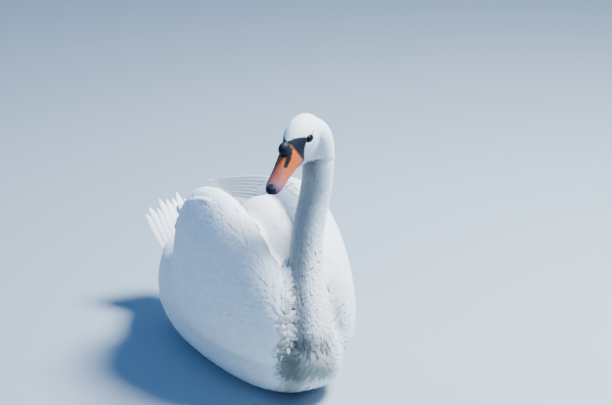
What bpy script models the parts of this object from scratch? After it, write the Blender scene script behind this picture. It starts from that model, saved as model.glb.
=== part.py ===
"""Mute swan at life size, resting on its belly with its wings arched over its back and its head
turned to its right.

Metres, +Z up, -Y forward, +X the bird's left. The origin is on the floor, in the middle of the
flat of the belly. Every piece is a closed solid, and keeps a hair's gap to the next one.
"""

from math import copysign, cos, pi, radians, sin

import bmesh
import bpy
from mathutils import Matrix, Vector

GAP = 0.0003  # between neighbouring pieces
CRUMB = 0.00005  # cuts leave no edge shorter than this
FLOOR = 0.0
LEFT, RIGHT = 1, -1

# Stations along the trunk: place on Y, half width, and the heights of the widest line, back and keel.
TRUNK_LINE = (
    (-0.340, 0.000, 0.095, 0.095, 0.095),
    (-0.322, 0.044, 0.095, 0.136, 0.050),
    (-0.275, 0.083, 0.105, 0.182, 0.016),
    (-0.195, 0.116, 0.118, 0.228, -0.002),
    (-0.095, 0.136, 0.125, 0.256, -0.005),
    (0.010, 0.141, 0.128, 0.260, -0.005),
    (0.100, 0.133, 0.130, 0.244, -0.002),
    (0.180, 0.114, 0.112, 0.216, 0.022),
    (0.245, 0.077, 0.120, 0.192, 0.060),
    (0.290, 0.044, 0.140, 0.178, 0.106),
    (0.312, 0.000, 0.160, 0.160, 0.160),
)
BELLY_FULLNESS = 0.64  # below 1, the lower half of a section is fuller towards its corners
TRUNK_RINGS = 20
TRUNK_SIDES = 22

# Centre line of the neck, from inside the breast to inside the head, and its radius.
NECK_LINE = (
    (0.000, -0.252, 0.082, 0.050),
    (0.000, -0.276, 0.120, 0.056),
    (0.001, -0.272, 0.165, 0.0465),
    (0.003, -0.262, 0.213, 0.0405),
    (0.008, -0.250, 0.262, 0.0365),
    (0.015, -0.242, 0.314, 0.034),
    (0.026, -0.238, 0.365, 0.0325),
    (0.037, -0.238, 0.416, 0.0315),
    (0.0415, -0.242, 0.462, 0.032),
    (0.0405, -0.244, 0.503, 0.0330),
    (0.0345, -0.247, 0.536, 0.0325),
    (0.0200, -0.252, 0.556, 0.0270),
)
# Shares of the neck's line where its lower length ends, and where the nape, a part of the head, begins.
NECK_CUTS = (0.46, 0.80)
NECK_RINGS = 11
NAPE_RINGS = 6
NECK_SIDES = 16

# The head's own frame stands between the eyes and looks along -Y before it is turned.
HEAD_PLACE = (-0.0098, -0.260, 0.5373)
HEAD_TURN = radians(-60)
HEAD_DIP = radians(24.5)
# Stations from nape to bill: place on Y, half width, and the heights of the widest line, crown and throat.
HEAD_LINE = (
    (0.062, 0.000, 0.004, 0.004, 0.004),
    (0.055, 0.020, 0.004, 0.0245, -0.018),
    (0.038, 0.0305, 0.004, 0.0375, -0.030),
    (0.014, 0.0335, 0.002, 0.0415, -0.0395),
    (-0.008, 0.0305, 0.001, 0.0385, -0.0420),
    (-0.026, 0.0245, -0.001, 0.0325, -0.0410),
    (-0.040, 0.0200, -0.003, 0.026, -0.0370),
    (-0.050, 0.0178, -0.005, 0.019, -0.0290),
)
HEAD_RINGS = 14
HEAD_SIDES = 18

EYE_RADIUS = 0.0062
EYE_PLACE = (0.0243, -0.002, 0.013)

# Upper mandible, from its root in the head to its tip: place on Y, half width, edge, culmen and palate.
UPPER_BILL_LINE = (
    (-0.030, 0.0180, -0.0090, 0.0250, -0.0125),
    (-0.050, 0.0180, -0.0105, 0.0205, -0.0135),
    (-0.068, 0.0168, -0.0125, 0.0120, -0.0155),
    (-0.086, 0.0162, -0.0160, 0.0022, -0.0185),
    (-0.104, 0.0168, -0.0200, -0.0065, -0.0220),
    (-0.116, 0.0156, -0.0225, -0.0118, -0.0242),
    (-0.1235, 0.0108, -0.0245, -0.0165, -0.0260),
    (-0.1275, 0.000, -0.0262, -0.0262, -0.0262),
)
LOWER_BILL_LINE = (
    (-0.030, 0.0150, -0.0160, -0.0090, -0.0250),
    (-0.060, 0.0138, -0.0175, -0.0110, -0.0252),
    (-0.086, 0.0128, -0.0212, -0.0150, -0.0278),
    (-0.102, 0.0112, -0.0245, -0.0190, -0.0296),
    (-0.111, 0.000, -0.0275, -0.0275, -0.0275),
)
BILL_RINGS = 10
BILL_SIDES = 14
NAIL_RADII = (0.0105, 0.0150, 0.0075)
NAIL_PLACE = (0.0, -0.1165, -0.0185)
KNOB_RADII = (0.0105, 0.0135, 0.0135)
KNOB_PLACE = (0.0, -0.0500, 0.0240)

# Stations along a wing: place on Y, then the outermost point, the ridge and the lower edge as X, Z pairs.
WING_LINE = (
    (-0.302, 0.072, 0.128, 0.064, 0.158, 0.064, 0.104),
    (-0.282, 0.103, 0.140, 0.062, 0.238, 0.083, 0.092),
    (-0.235, 0.133, 0.152, 0.067, 0.303, 0.107, 0.090),
    (-0.170, 0.157, 0.160, 0.080, 0.360, 0.130, 0.092),
    (-0.090, 0.170, 0.167, 0.092, 0.394, 0.143, 0.098),
    (-0.010, 0.164, 0.173, 0.098, 0.382, 0.143, 0.108),
    (0.055, 0.136, 0.180, 0.094, 0.336, 0.127, 0.124),
    (0.098, 0.115, 0.190, 0.088, 0.276, 0.112, 0.150),
    (0.122, 0.100, 0.200, 0.086, 0.224, 0.100, 0.178),
)
WING_RINGS = 14
WING_ARCH_STEPS = 10
WING_SKIRT_STEPS = 3
WING_LIP = radians(106)  # how far the arch goes on past its outermost point, over the ridge
WING_THICKNESS = 0.020
WING_HEART = (0.3, 0.6)  # shares in and up of the point that the wall thickens towards
# Each wing is held its own way: how much higher its ridge is, and how much further back its rear
# part leans at the ridge. The lift is for an arch of the usual height over its outermost point.
WING_LIFT = {LEFT: -0.012, RIGHT: 0.003}
WING_REACH = {LEFT: 0.045, RIGHT: 0.0}
USUAL_ARCH = 0.220
REACH_START = -0.050
REACH_RUN = 0.188
REACH_HEIGHT = 0.300

FLOOR_CLEARANCE = 0.005  # how far the room cut for a foot goes below the floor
# Mounds of plumage on either side of the body: long shoulder feathers, and the full breast.
MOUNDS = {
    "shoulder": ((0.052, 0.120, 0.074), (0.050, -0.030, 0.262)),
    "breast": ((0.036, 0.058, 0.088), (0.046, -0.236, 0.168)),
}

FEATHER_PLATE = 0.0035
ROWS_PER_FAN = 5
COLUMNS_PER_FEATHER = 2

TARSUS_RADIUS = 0.0078
HEEL_PLACE = (0.045, 0.060)
HEEL_HALF_WIDTH = 0.011
FOOT_LENGTH = 0.120
FOOT_TURN = (-9, 10)  # degrees that the inner and outer toes turn away from straight ahead
FOOT_ROWS = 5
FOOT_COLUMNS = 12
TOE_HEIGHT = 0.0125
WEB_THICKNESS = 0.0045


def clear_scene():
    for item in list(bpy.data.objects):
        bpy.data.objects.remove(item, do_unlink=True)


def make_collection(name):
    collection = bpy.data.collections.new(name)
    bpy.context.scene.collection.children.link(collection)
    return collection


def make_material(name, colour, roughness):
    material = bpy.data.materials.new(name)
    material.use_nodes = True
    shader = material.node_tree.nodes["Principled BSDF"]
    shader.inputs["Base Color"].default_value = (*colour, 1.0)
    shader.inputs["Roughness"].default_value = roughness
    shader.inputs["Metallic"].default_value = 0.0
    return material


clear_scene()
SWAN = make_collection("mute_swan")
CUTTERS = make_collection("cutters")
CUTTERS.hide_render = True

WHITE_PLUMAGE = make_material("white_plumage", (0.90, 0.91, 0.92), 0.75)
ORANGE_BILL = make_material("orange_bill", (0.78, 0.30, 0.12), 0.42)
BLACK_HORN = make_material("black_horn", (0.012, 0.012, 0.014), 0.38)
DARK_EYE = make_material("dark_eye", (0.010, 0.008, 0.008), 0.08)
DARK_WEB = make_material("dark_web", (0.045, 0.045, 0.050), 0.55)


def station_at(line, place):
    """The sizes at a place along a line of stations, on a smooth curve through them.
    place runs from 0 at the first station to 1 at the last one."""
    last = len(line) - 1
    index = min(int(place * last), last - 1)
    t = place * last - index
    before, start, end, after = (line[min(max(index + k, 0), last)] for k in (-1, 0, 1, 2))
    sizes = []
    for p0, p1, p2, p3 in zip(before, start, end, after):
        bend = 2 * p0 - 5 * p1 + 4 * p2 - p3
        twist = 3 * p1 - p0 - 3 * p2 + p3
        sizes.append(p1 + 0.5 * t * (p2 - p0 + t * (bend + t * twist)))
    return sizes


def body_from(name, mesh_data, collection, material=None, parent=None):
    """Makes an object of a bmesh, with its faces pointing out."""
    bmesh.ops.remove_doubles(mesh_data, verts=mesh_data.verts, dist=1e-6)
    bmesh.ops.recalc_face_normals(mesh_data, faces=mesh_data.faces)
    mesh = bpy.data.meshes.new(name)
    mesh_data.to_mesh(mesh)
    mesh_data.free()
    mesh.shade_smooth()
    item = bpy.data.objects.new(name, mesh)
    collection.objects.link(item)
    item.parent = parent
    if material:
        mesh.materials.append(material)
    return item


def loft(name, rings, material, parent=None):
    """A closed solid through rings of points. A ring of no width closes as a point, and an open
    end is closed with strips across it."""
    data = bmesh.new()
    loops = [[data.verts.new(point) for point in ring] for ring in rings]
    sides = len(loops[0])
    for near, far in zip(loops, loops[1:]):
        for side in range(sides):
            following = (side + 1) % sides
            data.faces.new((near[side], near[following], far[following], far[side]))
    for loop in (loops[0], loops[-1]):
        for side in range(sides // 2 - 1):
            opposite = sides - 1 - side
            data.faces.new((loop[side], loop[side + 1], loop[opposite - 1], loop[opposite]))
    return body_from(name, data, SWAN, material, parent)


def oval_ring(place, half_width, middle, top, bottom, sides, fullness=1.0):
    """A ring across Y, with an upper and a lower half of their own heights."""
    ring = []
    for side in range(sides):
        angle = 2 * pi * side / sides
        power = fullness if sin(angle) < 0 else 1.0
        out = copysign(abs(cos(angle)) ** power, cos(angle))
        rise = copysign(abs(sin(angle)) ** power, sin(angle))
        height = (top - middle) if rise > 0 else (middle - bottom)
        ring.append((half_width * out, place, middle + height * rise))
    return ring


def oval_body(name, line, rings, sides, material, parent=None, fullness=1.0):
    """A solid of oval rings through a line of stations."""
    shares = [ring / (rings - 1) for ring in range(rings)]
    hoops = [oval_ring(*station_at(line, share), sides, fullness) for share in shares]
    return loft(name, hoops, material, parent)


def modifier(item, kind, **settings):
    added = item.modifiers.new(kind.lower(), kind)
    for key, value in settings.items():
        setattr(added, key, value)
    return added


def swollen(item, by=GAP):
    """A hidden copy of a finished piece, grown by the gap, to cut room for the piece in others."""
    graph = bpy.context.evaluated_depsgraph_get()
    mesh = bpy.data.meshes.new_from_object(item.evaluated_get(graph), depsgraph=graph)
    data = bmesh.new()
    data.from_mesh(mesh)
    bmesh.ops.remove_doubles(data, verts=data.verts, dist=1e-6)
    data.normal_update()
    for vertex in data.verts:
        vertex.co += vertex.normal * by * min(max(vertex.calc_shell_factor(), 1.0), 1.6)
        if (item.matrix_world @ vertex.co).z < FLOOR + by:
            vertex.co.z -= FLOOR_CLEARANCE
    data.to_mesh(mesh)
    data.free()
    cutter = bpy.data.objects.new(item.name + "_room", mesh)
    CUTTERS.objects.link(cutter)
    cutter.matrix_world = item.matrix_world.copy()
    cutter.hide_render = True
    cutter.display_type = "WIRE"
    return cutter


def join(item, other):
    """Joins another solid to a piece, and keeps the other one out of sight."""
    modifier(item, "BOOLEAN", object=other, operation="UNION")
    other.hide_render = True
    other.display_type = "WIRE"


def cut_away(item, *rooms):
    for room in rooms:
        modifier(item, "BOOLEAN", object=room, operation="DIFFERENCE")
    bpy.context.view_layer.update()


def cut_room(item, *neighbours, by=GAP):
    """Cuts from a piece the room that its neighbours take."""
    bpy.context.view_layer.update()
    cut_away(item, *[swollen(neighbour, by) for neighbour in neighbours])


def cut_flat(item, height):
    """Cuts a piece off level, so that it stands on a flat."""
    data = bmesh.new()
    data.from_mesh(item.data)
    cut = bmesh.ops.bisect_plane(
        data,
        geom=data.verts[:] + data.edges[:] + data.faces[:],
        plane_co=(0, 0, height),
        plane_no=(0, 0, -1),
        clear_outer=True,
    )
    edges = [part for part in cut["geom_cut"] if isinstance(part, bmesh.types.BMEdge)]
    bmesh.ops.edgeloop_fill(data, edges=edges)
    bmesh.ops.recalc_face_normals(data, faces=data.faces)
    data.to_mesh(item.data)
    data.free()


def ball(name, radii, place, material, parent, segments=16, rings=10):
    """An egg-shaped solid of three radii."""
    data = bmesh.new()
    bmesh.ops.create_uvsphere(data, u_segments=segments, v_segments=rings, radius=1.0)
    bmesh.ops.scale(data, vec=radii, verts=data.verts)
    item = body_from(name, data, SWAN, material, parent)
    item.location = place
    return item


def make_trunk():
    """The body, with the mounds of plumage that fill the room between it, the neck and the wings."""
    trunk = oval_body(
        "trunk", TRUNK_LINE, TRUNK_RINGS, TRUNK_SIDES, WHITE_PLUMAGE, fullness=BELLY_FULLNESS
    )
    cut_flat(trunk, FLOOR)
    for name, (radii, place) in MOUNDS.items():
        for side, end in ((LEFT, "left"), (RIGHT, "right")):
            place_here = (side * place[0], *place[1:])
            join(trunk, ball(f"{name}_{end}", radii, place_here, WHITE_PLUMAGE, None))
    return trunk


def neck_length(name, start, end, count):
    """One length of the neck, between two shares of its centre line."""
    rings = []
    for step in range(count):
        share = start + (end - start) * step / (count - 1)
        centre = Vector(station_at(NECK_LINE, share)[:3])
        radius = station_at(NECK_LINE, share)[3]
        ahead = Vector(station_at(NECK_LINE, min(share + 0.01, 1.0))[:3])
        behind = Vector(station_at(NECK_LINE, max(share - 0.01, 0.0))[:3])
        along = (ahead - behind).normalized()
        across = Vector((0, 1, 0)).cross(along).normalized()
        forward = along.cross(across)
        angles = [2 * pi * side / NECK_SIDES for side in range(NECK_SIDES)]
        rings.append([centre + radius * (cos(a) * across + sin(a) * forward) for a in angles])
    return loft(name, rings, WHITE_PLUMAGE)


def make_neck():
    """The two lengths of the neck, and the nape, which is joined to the head later."""
    length = sum((Vector(b[:3]) - Vector(a[:3])).length for a, b in zip(NECK_LINE, NECK_LINE[1:]))
    gap = GAP / length
    lower = neck_length("neck_lower", 0.0, NECK_CUTS[0], NECK_RINGS)
    upper = neck_length("neck_upper", NECK_CUTS[0] + gap, NECK_CUTS[1] - gap, NECK_RINGS)
    nape = neck_length("nape", NECK_CUTS[1], 1.0, NAPE_RINGS)
    return lower, upper, nape


def make_head(nape):
    """The head with its bill and eyes, all in the head's own frame, and joined to the nape."""
    frame = bpy.data.objects.new("head_frame", None)
    SWAN.objects.link(frame)
    frame.matrix_world = (
        Matrix.Translation(HEAD_PLACE)
        @ Matrix.Rotation(HEAD_TURN, 4, "Z")
        @ Matrix.Rotation(HEAD_DIP, 4, "X")
    )
    head = oval_body("head", HEAD_LINE, HEAD_RINGS, HEAD_SIDES, WHITE_PLUMAGE, frame)
    upper = oval_body("bill_upper", UPPER_BILL_LINE, BILL_RINGS, BILL_SIDES, ORANGE_BILL, frame)
    lower = oval_body("bill_lower", LOWER_BILL_LINE, BILL_RINGS, BILL_SIDES, ORANGE_BILL, frame)
    nail = ball("bill_nail", NAIL_RADII, NAIL_PLACE, BLACK_HORN, frame, segments=12, rings=8)
    knob = ball("bill_knob", KNOB_RADII, KNOB_PLACE, BLACK_HORN, frame)
    eyes = []
    for side, name in ((LEFT, "eye_left"), (RIGHT, "eye_right")):
        place = (side * EYE_PLACE[0], EYE_PLACE[1], EYE_PLACE[2])
        eyes.append(ball(name, [EYE_RADIUS] * 3, place, DARK_EYE, frame, rings=8))
    join(head, nape)
    bpy.context.view_layer.update()
    head_room, upper_room, knob_room, nail_room = map(swollen, (head, upper, knob, nail))
    cut_room(head, *eyes)
    cut_away(knob, head_room)
    cut_away(upper, head_room, knob_room, nail_room)
    cut_away(lower, head_room, upper_room, nail_room)
    return head


def wing_section(sizes, side):
    """A ring across Y round the wall of a wing. Its outer line runs from the lower edge out and up
    over the ridge, and its inner line comes back."""
    place, out_x, out_z, ridge_x, ridge_z, low_x, low_z = sizes
    lift = WING_LIFT[side] * (ridge_z - out_z) / USUAL_ARCH
    reach = WING_REACH[side] * max(0.0, (place - REACH_START) / REACH_RUN)
    outer = []
    for step in range(WING_SKIRT_STEPS, 0, -1):
        angle = 0.5 * pi * step / WING_SKIRT_STEPS
        x = low_x + (out_x - low_x) * cos(angle)
        outer.append(Vector((x, place, out_z - (out_z - low_z) * sin(angle))))
    for step in range(WING_ARCH_STEPS + 1):
        angle = WING_LIP * step / WING_ARCH_STEPS
        x = ridge_x + (out_x - ridge_x) * cos(angle)
        outer.append(Vector((x, place, out_z + (ridge_z + lift - out_z) * sin(angle))))
    heart_x = ridge_x - (out_x - ridge_x) * WING_HEART[0]
    heart = Vector((heart_x, place, low_z + (out_z - low_z) * WING_HEART[1]))
    inner = [p.lerp(heart, min(WING_THICKNESS / (p - heart).length, 0.5)) for p in outer]
    ring = outer + inner[::-1]
    return [(side * p.x, p.y + reach * (p.z - low_z) / REACH_HEIGHT, p.z) for p in ring]


def make_wing(side, name):
    """An arched wall of feathers over one side of the bird, open on to the back."""
    shares = [ring / (WING_RINGS - 1) for ring in range(WING_RINGS)]
    rings = [wing_section(station_at(WING_LINE, share), side) for share in shares]
    return loft(name, rings, WHITE_PLUMAGE)


def feather_fan(name, root, along, across, lengths, widths, feathers, notch, camber, rounding=0.0):
    """A plate of overlapping long feathers, with a row of separate tips.
    lengths and widths are (first, last): the length at either edge, and the width at root and tip.
    rounding is how much longer the middle feathers are."""
    along, across = Vector(along).normalized(), Vector(across).normalized()
    face = along.cross(across)
    columns = feathers * COLUMNS_PER_FEATHER
    data = bmesh.new()
    rows = []
    for row in range(ROWS_PER_FAN + 1):
        out = row / ROWS_PER_FAN
        line = []
        for column in range(columns + 1):
            share = column / columns
            length = lengths[0] + (lengths[1] - lengths[0]) * share + rounding * sin(pi * share)
            length -= notch * (1 - abs(sin(pi * feathers * share)) ** 0.7) * out**3
            width = widths[0] + (widths[1] - widths[0]) * out
            crown = camber * width * cos(pi * (share - 0.5))
            line.append(
                data.verts.new(
                    Vector(root) + along * length * out + across * width * (share - 0.5) + face * crown
                )
            )
        rows.append(line)
    for near, far in zip(rows, rows[1:]):
        for column in range(columns):
            data.faces.new((near[column], near[column + 1], far[column + 1], far[column]))
    mesh = bpy.data.meshes.new(name)
    data.to_mesh(mesh)
    data.free()
    mesh.shade_smooth()
    mesh.materials.append(WHITE_PLUMAGE)
    fan = bpy.data.objects.new(name, mesh)
    SWAN.objects.link(fan)
    modifier(fan, "SOLIDIFY", thickness=FEATHER_PLATE, offset=0.0, use_even_offset=False)
    return fan


def make_tail():
    """A short cocked fan of tail feathers."""
    return feather_fan(
        "tail",
        root=(0.002, 0.212, 0.128),
        along=(0.0, 0.76, 0.65),
        across=(1.0, 0.0, 0.0),
        lengths=(0.142, 0.142),
        widths=(0.090, 0.168),
        feathers=9,
        notch=0.024,
        camber=-0.10,
        rounding=0.022,
    )


def make_primaries():
    """The long flight feathers, which lie back over the rump. The left ones are held higher."""
    left = feather_fan(
        "primaries_left",
        root=(0.108, 0.050, 0.318),
        along=(-0.37, 0.91, -0.15),
        across=(-0.15, 0.10, -1.0),
        lengths=(0.205, 0.150),
        widths=(0.070, 0.014),
        feathers=5,
        notch=0.014,
        camber=0.12,
    )
    right = feather_fan(
        "primaries_right",
        root=(-0.112, 0.045, 0.268),
        along=(0.30, 0.93, -0.14),
        across=(0.15, 0.10, -1.0),
        lengths=(0.205, 0.150),
        widths=(0.070, 0.014),
        feathers=5,
        notch=0.014,
        camber=0.12,
    )
    return left, right


def tube(name, points, radius, tip_radius):
    """A round bar along a few points, as a mesh."""
    curve = bpy.data.curves.new(name, "CURVE")
    curve.dimensions = "3D"
    curve.bevel_depth = 1.0
    curve.bevel_resolution = 2
    curve.use_fill_caps = True
    spline = curve.splines.new("POLY")
    spline.points.add(len(points) - 1)
    for index, (point, target) in enumerate(zip(points, spline.points)):
        target.co = (*point, 1.0)
        share = index / (len(points) - 1)
        target.radius = radius + (tip_radius - radius) * share
    holder = bpy.data.objects.new(name, curve)
    CUTTERS.objects.link(holder)
    bpy.context.view_layer.update()
    graph = bpy.context.evaluated_depsgraph_get()
    mesh = bpy.data.meshes.new_from_object(holder.evaluated_get(graph), depsgraph=graph)
    bpy.data.objects.remove(holder, do_unlink=True)
    data = bmesh.new()
    data.from_mesh(mesh)
    return body_from(name, data, CUTTERS)


def foot_section(heel, side, share):
    """A ring round the foot, across its toes, at a share of the way from the heel to the tips.
    The toes are ridges, the webs between them are thin, and the sole is flat."""
    top, sole = [], []
    for column in range(FOOT_COLUMNS + 1):
        spread = column / FOOT_COLUMNS
        web = abs(sin(2 * pi * spread))
        angle = radians(FOOT_TURN[0] + (FOOT_TURN[1] - FOOT_TURN[0]) * spread)
        length = FOOT_LENGTH * (0.90 + 0.10 * sin(pi * spread)) * (1 - 0.14 * web * share**3)
        x = heel[0] + side * ((2 * spread - 1) * HEEL_HALF_WIDTH + length * share * sin(angle))
        y = heel[1] - length * share * cos(angle)
        height = WEB_THICKNESS + (TOE_HEIGHT * (1 - 0.6 * share) - WEB_THICKNESS) * (1 - web)
        top.append((x, y, FLOOR + height))
        sole.append((x, y, FLOOR))
    return top + sole[::-1]


def make_leg(side, name):
    """A folded leg under the belly: the shank runs forward to a webbed foot flat on the floor.
    Also gives the room that the leg takes from the belly."""
    heel = (side * HEEL_PLACE[0], HEEL_PLACE[1])
    shares = [row / FOOT_ROWS for row in range(FOOT_ROWS + 1)]
    leg = loft(name, [foot_section(heel, side, share) for share in shares], DARK_WEB)
    shank_line = (
        (heel[0], heel[1] - 0.012, TARSUS_RADIUS),
        (heel[0], heel[1] + 0.030, TARSUS_RADIUS + 0.004),
        (heel[0] + side * 0.004, heel[1] + 0.085, TARSUS_RADIUS + 0.018),
    )
    shank = tube(f"{name}_shank", shank_line, TARSUS_RADIUS * 0.93, TARSUS_RADIUS * 1.15)
    bpy.context.view_layer.update()
    rooms = [swollen(leg, 2 * GAP), swollen(shank, 3 * GAP)]
    join(leg, shank)
    return leg, rooms


trunk = make_trunk()
neck_lower, neck_upper, nape = make_neck()
head = make_head(nape)
leg_left, left_rooms = make_leg(LEFT, "leg_left")
leg_right, right_rooms = make_leg(RIGHT, "leg_right")
tail = make_tail()
wings = [make_wing(LEFT, "wing_left"), make_wing(RIGHT, "wing_right")]

cut_away(trunk, *left_rooms, *right_rooms)
cut_room(neck_lower, trunk)
cut_room(tail, trunk)
for wing, fan in zip(wings, make_primaries()):
    join(wing, fan)
    cut_room(wing, trunk, by=3 * GAP)
for item in SWAN.objects:
    if item.modifiers:
        modifier(item, "WELD", merge_threshold=CRUMB)
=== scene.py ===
from math import cos, pi, radians, sin

import bmesh
import bpy
import numpy as np
from mathutils import Matrix, Vector
from mathutils.bvhtree import BVHTree
from mathutils.kdtree import KDTree


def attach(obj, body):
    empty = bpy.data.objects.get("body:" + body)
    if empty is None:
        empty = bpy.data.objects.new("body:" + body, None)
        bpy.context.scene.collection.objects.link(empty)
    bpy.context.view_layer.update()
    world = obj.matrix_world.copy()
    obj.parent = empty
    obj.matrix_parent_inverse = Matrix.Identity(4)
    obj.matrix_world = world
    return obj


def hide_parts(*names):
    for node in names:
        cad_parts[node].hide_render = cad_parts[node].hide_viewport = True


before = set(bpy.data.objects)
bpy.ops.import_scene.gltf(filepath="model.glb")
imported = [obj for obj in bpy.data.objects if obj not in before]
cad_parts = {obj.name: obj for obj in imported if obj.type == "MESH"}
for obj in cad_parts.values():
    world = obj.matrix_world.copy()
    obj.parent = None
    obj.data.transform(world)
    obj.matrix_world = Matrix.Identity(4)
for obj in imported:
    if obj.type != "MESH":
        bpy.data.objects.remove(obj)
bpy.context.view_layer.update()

scene = bpy.context.scene

# ---------------------------------------------------------------------------------------------
# The studio. The bird lies on a plain cool grey floor. A large soft lamp stands high on its left,
# a weak one fills from the right, and a blue sky lights the rest. The camera is four metres off.
CAMERA_AZIMUTH = radians(-29)
CAMERA_ELEVATION = radians(20)
CAMERA_DISTANCE = 4.0
CAMERA_AIM = Vector((0.0157, -0.24, 0.402))
CAMERA_LENS = 120.66
CAMERA_CLIP = 100.0
FLOOR_SIZE = 30.0
FLOOR_COLOUR = (0.29, 0.34, 0.39)
FLOOR_ROUGHNESS = 0.62
SKY_COLOUR = (0.13, 0.42, 1.0)
SKY_STRENGTH = 0.74
# Each lamp's name, place, aim, diameter, watts and colour.
LAMPS = (
    ("key_lamp", (1.4, -0.55, 2.8), (0.0, -0.1, 0.25), 1.1, 500.0, (0.86, 0.95, 1.0)),
    ("fill_lamp", (-2.6, -2.2, 1.6), (0.0, 0.0, 0.25), 1.8, 18.0, (0.55, 0.78, 1.0)),
)


def aim(item, place, target):
    """Puts a lamp or the camera at its place, turned towards its target."""
    item.location = place
    item.rotation_euler = (Vector(target) - Vector(place)).to_track_quat("-Z", "Y").to_euler()
    scene.collection.objects.link(item)


def soft_lamp(name, place, target, size, power, colour):
    light = bpy.data.lights.new(name, "AREA")
    light.shape = "DISK"
    light.size = size
    light.energy = power
    light.color = colour
    aim(bpy.data.objects.new(name, light), place, target)


toward_camera = Vector(
    (
        sin(CAMERA_AZIMUTH) * cos(CAMERA_ELEVATION),
        -cos(CAMERA_AZIMUTH) * cos(CAMERA_ELEVATION),
        sin(CAMERA_ELEVATION),
    )
)
camera_data = bpy.data.cameras.new("camera")
camera_data.lens = CAMERA_LENS
camera_data.clip_end = CAMERA_CLIP
camera = bpy.data.objects.new("camera", camera_data)
aim(camera, CAMERA_AIM + toward_camera * CAMERA_DISTANCE, CAMERA_AIM)
scene.camera = camera

for lamp in LAMPS:
    soft_lamp(*lamp)

sky = bpy.data.worlds.new("sky")
sky.use_nodes = True
sky.node_tree.nodes["Background"].inputs["Color"].default_value = (*SKY_COLOUR, 1.0)
sky.node_tree.nodes["Background"].inputs["Strength"].default_value = SKY_STRENGTH
scene.world = sky


def new_material(name, colour, roughness):
    """A material with its shader, ready for more nodes."""
    material = bpy.data.materials.new(name)
    material.use_nodes = True
    shader = material.node_tree.nodes["Principled BSDF"]
    shader.inputs["Base Color"].default_value = (*colour, 1.0)
    shader.inputs["Roughness"].default_value = roughness
    return material, material.node_tree, shader


def add_node(tree, kind, inputs=(), **settings):
    """A node with its settings and its inputs, which are values or other nodes' outputs."""
    node = tree.nodes.new(kind)
    for key, value in settings.items():
        setattr(node, key, value)
    for key, value in dict(inputs).items():
        if isinstance(value, bpy.types.NodeSocket):
            tree.links.new(value, node.inputs[key])
        else:
            node.inputs[key].default_value = value
    return node


def mesh_object(name, data, material):
    """Makes a smooth-shaded piece of a bmesh."""
    mesh = bpy.data.meshes.new(name)
    data.to_mesh(mesh)
    data.free()
    mesh.shade_smooth()
    mesh.materials.append(material)
    item = bpy.data.objects.new(name, mesh)
    scene.collection.objects.link(item)
    return item


floor_data = bmesh.new()
bmesh.ops.create_grid(floor_data, x_segments=1, y_segments=1, size=FLOOR_SIZE / 2)
floor_paint = new_material("floor_paint", FLOOR_COLOUR, FLOOR_ROUGHNESS)[0]
floor = mesh_object("studio_floor", floor_data, floor_paint)

# ---------------------------------------------------------------------------------------------
# The skin: one seamless surface over trunk, neck, head and wings, a coat's depth inside them. It
# is white down and skin under the feathers, and bare black skin between the eyes and the bill.
SKIN_VOXEL = 0.0050
SKIN_SMOOTHING = 6
HEAD_VOXEL = 0.0024
HEAD_SMOOTHING = 9
FLESH = ("trunk", "neck_lower", "neck_upper", "head", "wing_left", "wing_right")
CREVICE = 0.008  # plumage bridges clefts up to twice as wide
SWELL_START = (0.080, 0.120)  # how far from the head's middle the skin bridges clefts, and fully
FINE_REACHES = (0.082, 0.066)  # the skin is made finer within these distances of the head's middle
HEAD_BLEND = (0.056, 0.076)  # the finer form of the head holds within the first distance
HEAD_SOFTENED = 0.080
EYE_SURROUND = 0.014
DEPTH_SMOOTHING = 14
BELLY_CLEARANCE = 0.0012  # of the skin over the floor
BILL_SEAT = 0.0028  # how deep the skin drops under the root of the bill
# The soft mounds of shoulder feathers that fill the hollow under each arched wing.
UNDERWING_MOUNDS = (
    ((0.098, -0.055, 0.316), (0.031, 0.115, 0.040)),
    ((-0.098, -0.070, 0.330), (0.031, 0.105, 0.040)),
)
COAT_DEPTH = {
    "trunk": 0.0036,
    "neck_lower": 0.0030,
    "neck_upper": 0.0022,
    "head": 0.0011,
    "wing_left": 0.0034,
    "wing_right": 0.0034,
}
HEAD_FRAME = (
    Matrix.Translation((-0.0098, -0.260, 0.5373))
    @ Matrix.Rotation(radians(-60), 4, "Z")
    @ Matrix.Rotation(radians(24.5), 4, "X")
)
HEAD_TURN = np.array(HEAD_FRAME.to_3x3())
HEAD_PLACE = np.array(HEAD_FRAME.translation)
EYE_PLACE = (0.0243, -0.002, 0.0140)
EYE_RADIUS = 0.0062
LID_OPENING = (0.0058, 0.0046)  # half its length along the head and half its height
LID_EDGE = 0.96  # where the skin turns in, as a share of the opening
# How far the lid and the brow stand out, and their place and width as shares of the opening.
LID_RIM = (0.0008, 1.12, 0.22)
BROW = (0.0007, 1.9, 0.55)
CHEEK_SHARE = 0.35  # how much of the brow's height there is below the eye
BROW_REACH = 0.016
LID_CLEARANCE = 0.00015
SOCKET_DEPTH = 0.0005
EYE_SIDE = 0.012  # skin further out than this on each side of the head can be lid
# The fold under the jaw and the swell of the cheek above it: depth, height on the head, width.
JAW_FORMS = ((0.0032, -0.0465, 0.0045), (-0.0016, -0.0350, 0.0065))
JAW_SIDE, JAW_FRONT, JAW_REAR = (0.006, 0.016), (-0.034, -0.018), (0.004, 0.020)
NECK_AXIS = np.array(
    (
        (0.000, -0.276, 0.095),
        (0.001, -0.272, 0.165),
        (0.008, -0.250, 0.262),
        (0.026, -0.238, 0.365),
        (0.0415, -0.242, 0.462),
        (0.0345, -0.247, 0.536),
    )
)
# The way across the neck, the camera's right, by which its side away from the key lamp gets painted shade.
NECK_SHADE_ACROSS = (0.875, -0.485)
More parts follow.
